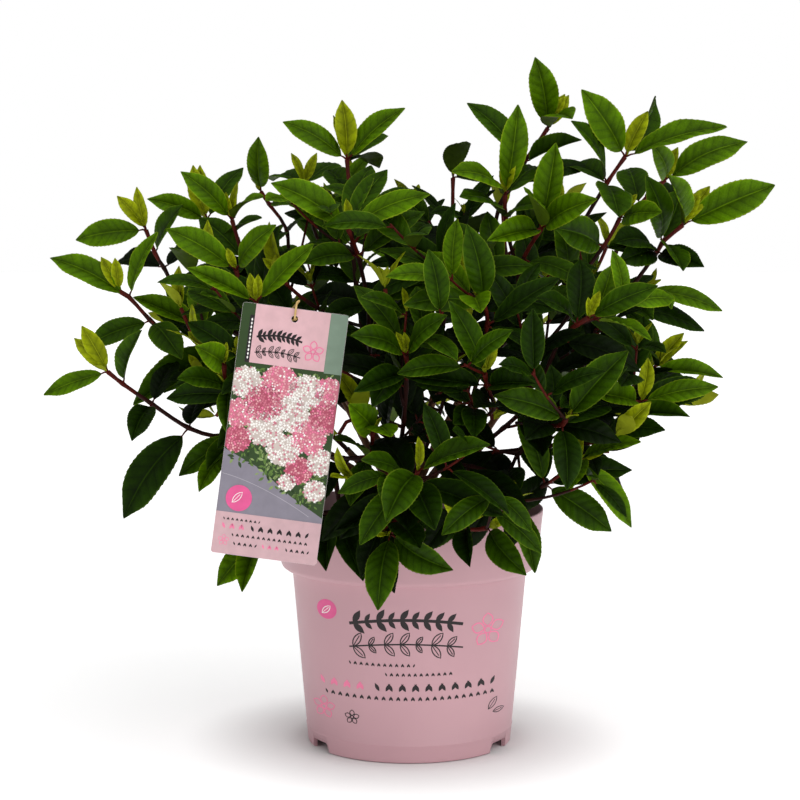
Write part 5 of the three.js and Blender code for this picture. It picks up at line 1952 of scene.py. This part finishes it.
def ink_finishes(names, before, roughness):
    """A material for each ink."""
    materials = []
    for name in names:
        colour = linear(*INKS[name])
        low, high = shade(colour, 0.93), shade(colour, 1.05)
        finish, _ = grained(f"ink_{before}{name}", roughness, (120.0, 3.0), low, high)
        finish.bump(finish.noise(1400.0, 2.0), 0.000008)
        materials.append(finish.material)
    return materials


# The header's panel and dark strip on the card: left, bottom, right and top
PANEL = (-30.2, -45.0, 27.0, -0.2)
STRIP = (-33.6, -45.0, -30.2, -9.0)
# How high the dark footer reaches
FOOTER_TOP = -160.0
# Flower heads: centre, radius and tone, and by tone the ground's ink and the florets' inks
CLUSTERS = [
    (-5, -57, 14, "rose"), (33, -60, 12, "rose"), (-31, -60, 13, "white"), (16, -62, 14, "white"),
    (-15, -74, 15, "deep_rose"), (33, -80, 13, "deep_rose"), (6, -80, 15, "white"),
    (-33, -84, 12, "rose"), (-12, -94, 14, "white"), (22, -96, 14, "rose"), (-32, -104, 11, "deep_rose"),
    (4, -108, 13, "white"), (34, -114, 11, "white"), (18, -122, 11, "deep_rose"),
    (32, -136, 9, "white"), (10, -132, 7, "white"),
]
HEADS = {
    "white": ("cream", ("white", "white", "white", "cream", "rose")),
    "rose": ("rose", ("blush_pale", "white", "blush", "rose", "blush_pale")),
    "deep_rose": ("deep_rose", ("rose", "blush", "blush_pale", "deep_rose", "rose")),
}
GREENS = ("leaf", "leaf_pale", "dark_leaf", "leaf")
CARD_SCATTER = 900


def label_print():
    top = CARD_THICKNESS / 2
    inset = 0.12
    half = CARD_WIDTH / 2 - inset
    random = stream(911)
    press = Print(on_card, INKS)

    def area(outline, layer, ink, holes=()):
        press.area(outline, top - 0.1, top + layer * PRINT_STEP, ink, holes)

    hole = circle(0, -HOLE_DEPTH, HOLE_RADIUS + 0.25)
    area(rounded(-half, -CARD_HEIGHT + inset, half, -inset, 1.8), 1, "dark_leaf", [hole])
    path = [(-half, FOOTER_TOP), (-half, -112), (-12, -124), (14, -142), (half, -156)]
    area([*path, (half, FOOTER_TOP)], 2, "ground")
    press.level = top + 2 * PRINT_STEP
    joint = bezier([(-half + 1, -131), (-16, -134), (12, -146), (30, -156)], 24)
    press.ribbon(joint, 0.5, "joint", thickness=0.03)
    area(rounded(27, -46, half, -0.2, 0.6), 2, "mist")
    press.level = top + 2.4 * PRINT_STEP
    for _ in range(CARD_SCATTER):
        x = (random() - 0.5) * 2 * (half - 3)
        y = -48 - 100 * random()
        slope = -112 - 32 * max(0.0, (x + 30) / 60)
        if y < slope - 8:
            continue
        tone = GREENS[int(random() * len(GREENS))]
        size = 2.6 + 3 * random()
        turn = random() * 6.28
        if abs(x + size * math.cos(turn)) < half - 0.5:
            press.solid_leaf(x, y, turn, size, size * 0.42, tone)
    for x, y, radius, tone in CLUSTERS:
        base, florets = HEADS[tone]
        lobes = []
        for k in range(36):
            turn = math.radians(k * 10)
            across = x + radius * (0.94 + 0.1 * math.sin(k * 2.4)) * math.cos(turn)
            up = y + radius * (0.9 + 0.1 * math.sin(k * 2.1)) * math.sin(turn)
            lobes.append((min(max(across, -half + 0.2), half - 0.2), up))
        area(lobes, 3.5, base)
        count = int(radius * radius * 0.8)
        for number in range(count):
            reach = radius * math.sqrt((number + 0.5) / count)
            turn = math.radians(number * GOLDEN_ANGLE)
            fx, fy = x + reach * math.cos(turn), y + reach * 0.95 * math.sin(turn)
            size = 1.05 * (0.8 + 0.5 * random())
            ink = florets[int(random() * len(florets))]
            if abs(fx) < half - size and fy > FOOTER_TOP + size:
                layer = 4.0 + 0.5 * (number % 3) + 0.02 * (number % 7)
                area(floret(fx, fy, size, random() * 1.57), layer, ink)
    area(rounded(*PANEL, 0.4), 7, "pink", [hole])
    area(rounded(*STRIP, 0.3), 7, "dark")
    foot = [(-half, -CARD_HEIGHT + 1.5), (-half + 1.2, -CARD_HEIGHT + inset),
            (half - 1.2, -CARD_HEIGHT + inset), (half, -CARD_HEIGHT + 1.5)]
    area([*foot, (half, FOOTER_TOP), (-half, FOOTER_TOP)], 7, "pink_low")
    press.level = top + 7 * PRINT_STEP
    press.garland((-27, -25), (8, -25), (-10, -20), 7.0, 1.2, filled=True)
    press.garland((-27, -37), (8, -37), (-10, -33), 6.5, 0.6)
    press.line_flower(17, -31, 8.0, "blush", 0.9)
    for number in range(11):
        press.solid_leaf(-31.9, -42.5 + number * 2.9, math.pi / 2, 2.3, 1.2, "white")
    press.leaf_rows([
        (-34, -6, -166.0, 2.4, "dark"), (-34, -15, -172.5, 5.0, "blush"), (-12, 34, -172.5, 5.0, "dark"),
        (-26, 34, -178.0, 2.8, "dark"), (-24, -6, -184.5, 3.0, "dark"), (-2, 12, -184.5, 3.8, "blush"),
        (16, 34, -184.5, 3.0, "dark"),
    ])
    press.line_flower(-32, -181.5, 4.2, "blush", 0.4)
    press.disc(-24.5, -148.5, 10.0, 0.05, "magenta")
    press.level += 0.06
    press.line_leaf(-29.2, -152.4, 0.9, 11.0, 4.4, "white")
    label_back(press)
    return press


def label_back(press):
    """Plain rules on the card's back."""

    def behind(x, y, level):
        return on_card(x, y, -CARD_THICKNESS / 2 - level)

    half = CARD_WIDTH / 2 - 4
    press.place_on, press.level = behind, -0.02
    for number in range(14):
        y = -30 - number * 10.5
        end = half * (0.55 + 0.4 * math.sin(number * 2.3) ** 2)
        press.ribbon([(-half, y), (0, y), (end, y)], 0.6, "dark", thickness=0.05)


def build_label():
    pale, light = linear(238, 226, 226), linear(246, 238, 238)
    finish, fibres = grained("label_card", 0.32, (380.0, 5.0), pale, light)
    finish.bump(fibres, 0.00002)
    heap = Heap()
    half, thick = CARD_WIDTH / 2, CARD_THICKNESS / 2
    outline = rounded(-half, -CARD_HEIGHT, half, 0, CARD_ROUND)
    plate(heap, outline, [circle(0, -HOLE_DEPTH, HOLE_RADIUS)], -thick, thick, on_card)
    keep(heap.piece("label_card_body", [finish.material], smooth=False), "card", "label_card")
    inks = ink_finishes(INKS, "", 0.3)
    keep(label_print().heap.piece("label_print", inks, smooth=False), "card", "label_card")


def build_tie():
    tan, light = linear(196, 160, 96), linear(222, 190, 128)
    finish, _ = grained("tie_band", 0.45, (240.0, 3.0), tan, light)
    finish.bump(finish.noise(900.0, 3.0), 0.00004)
    points = loop_through(tie_marks(), 14)
    heap = Heap()
    heap.add(*tube(points, [TIE_RADIUS] * len(points), 12, closed=True))
    keep(heap.piece("tie_band", [finish.material]), "tie", "label_tie")


def on_pot(x, z, level):
    """A point on the pot's side from its place as seen from the front."""
    radius = body_radius(z) + level
    bearing = math.asin(max(-0.999, min(0.999, x / radius)))
    return np.array([radius * math.sin(bearing), -radius * math.cos(bearing), z])


def pot_print():
    press = Print(on_pot, POT_INKS, 0.05)
    press.garland((-50, 118), (44, 118), (-3, 128), 13.0, 2.0, filled=True)
    press.garland((-50, 98), (44, 98), (-3, 107), 14.0, 1.0)
    press.line_flower(65, 110, 14.0, "blush", 1.1)
    press.line_flower(-72, 41, 9.5, "blush", 0.9)
    press.line_flower(-48, 37, 6.0, "dark", 0.7)
    press.line_leaf(66, 40, 0.9, 12.0, 5.0, "dark", 0.7)
    press.line_leaf(70, 37, 0.1, 10.0, 4.2, "dark", 0.7)
    press.leaf_rows([
        (-50, 6, 83, 3.4, "dark"), (-20, 38, 75, 3.4, "dark"), (-28, 72, 62, 7.6, "dark"),
        (-74, -32, 62, 7.6, "blush"), (-70, 74, 54, 4.2, "dark"),
    ])
    press.disc(-69.0, 127.0, 8.4, 0.06, "magenta")
    press.level += 0.08
    press.line_leaf(-73.0, 123.0, 0.8, 10.0, 4.4, "white", 0.6)
    inks = ink_finishes(POT_INKS, "pot_", 0.38)
    keep(press.heap.piece("pot_print", inks, smooth=False), "pot", "pot")


# Floor: its level, reach and rings, and how its own glow fades near the pot into a painted contact
# shadow, as reach in metres and how steeply
FLOOR_LEVEL = -0.4
FLOOR_RADIUS = 9000.0
FLOOR_RINGS = 12
FLOOR_SIDES = 96
FLOOR_SHADE = [(0.11, 3.0), (0.022, 1.5)]
FLOOR_GLOW = 0.56


def build_floor():
    finish, _ = grained("floor_pale", 0.75, (0.7, 2.0), grey(0.88), grey(0.9))
    strength = FLOOR_GLOW
    # Painted contact shadow: the glow dims where the floor is closed in, near the pot
    for distance, power in FLOOR_SHADE:
        shadow_openness = finish.node("ShaderNodeAmbientOcclusion", "AO", {"Distance": distance})
        strength = finish.reckon("MULTIPLY", finish.reckon("POWER", shadow_openness, power), strength)
    finish.give(finish.shader, {"Emission Color": grey(1.0), "Emission Strength": strength})
    reaches = FLOOR_RADIUS * (np.arange(1, FLOOR_RINGS + 1) / FLOOR_RINGS) ** 2
    rings = [level_ring(reach, FLOOR_LEVEL, FLOOR_SIDES) for reach in reaches]
    points, triangles = skin(rings, UP * FLOOR_LEVEL)
    heap = Heap()
    heap.add(points, triangles[:, ::-1])
    heap.piece("floor", [finish.material])


# Broad even lights from far away: the way to each, its breadth in degrees and its strength
LIGHTS = {
    "front": ((0.05, -1.0, 0.45), 165, 2.1),
    "key": ((1.0, -1.2, 1.1), 60, 0.9),
    "back": ((-0.3, 1.0, 0.8), 150, 0.5),
}


def light_scene():
    world = bpy.data.worlds.new("white_room")
    world.use_nodes = True
    background = world.node_tree.nodes["Background"]
    background.inputs["Color"].default_value = grey(1.0)
    background.inputs["Strength"].default_value = 1.0
    world.cycles_visibility.diffuse = False
    world.cycles_visibility.glossy = False
    bpy.context.scene.world = world
    for name, (toward, breadth, strength) in LIGHTS.items():
        data = bpy.data.lights.new(name, "SUN")
        data.energy = strength
        data.angle = math.radians(breadth)
        linked(name, data).rotation_euler = Vector(toward).to_track_quat("Z", "Y").to_euler()
    view = bpy.context.scene.view_settings
    view.view_transform = "Standard"
    view.look = "None"


build_pot()
build_peat()
build_bark()
build_label()
build_tie()
pot_print()
build_crown()
build_floor()
light_scene()
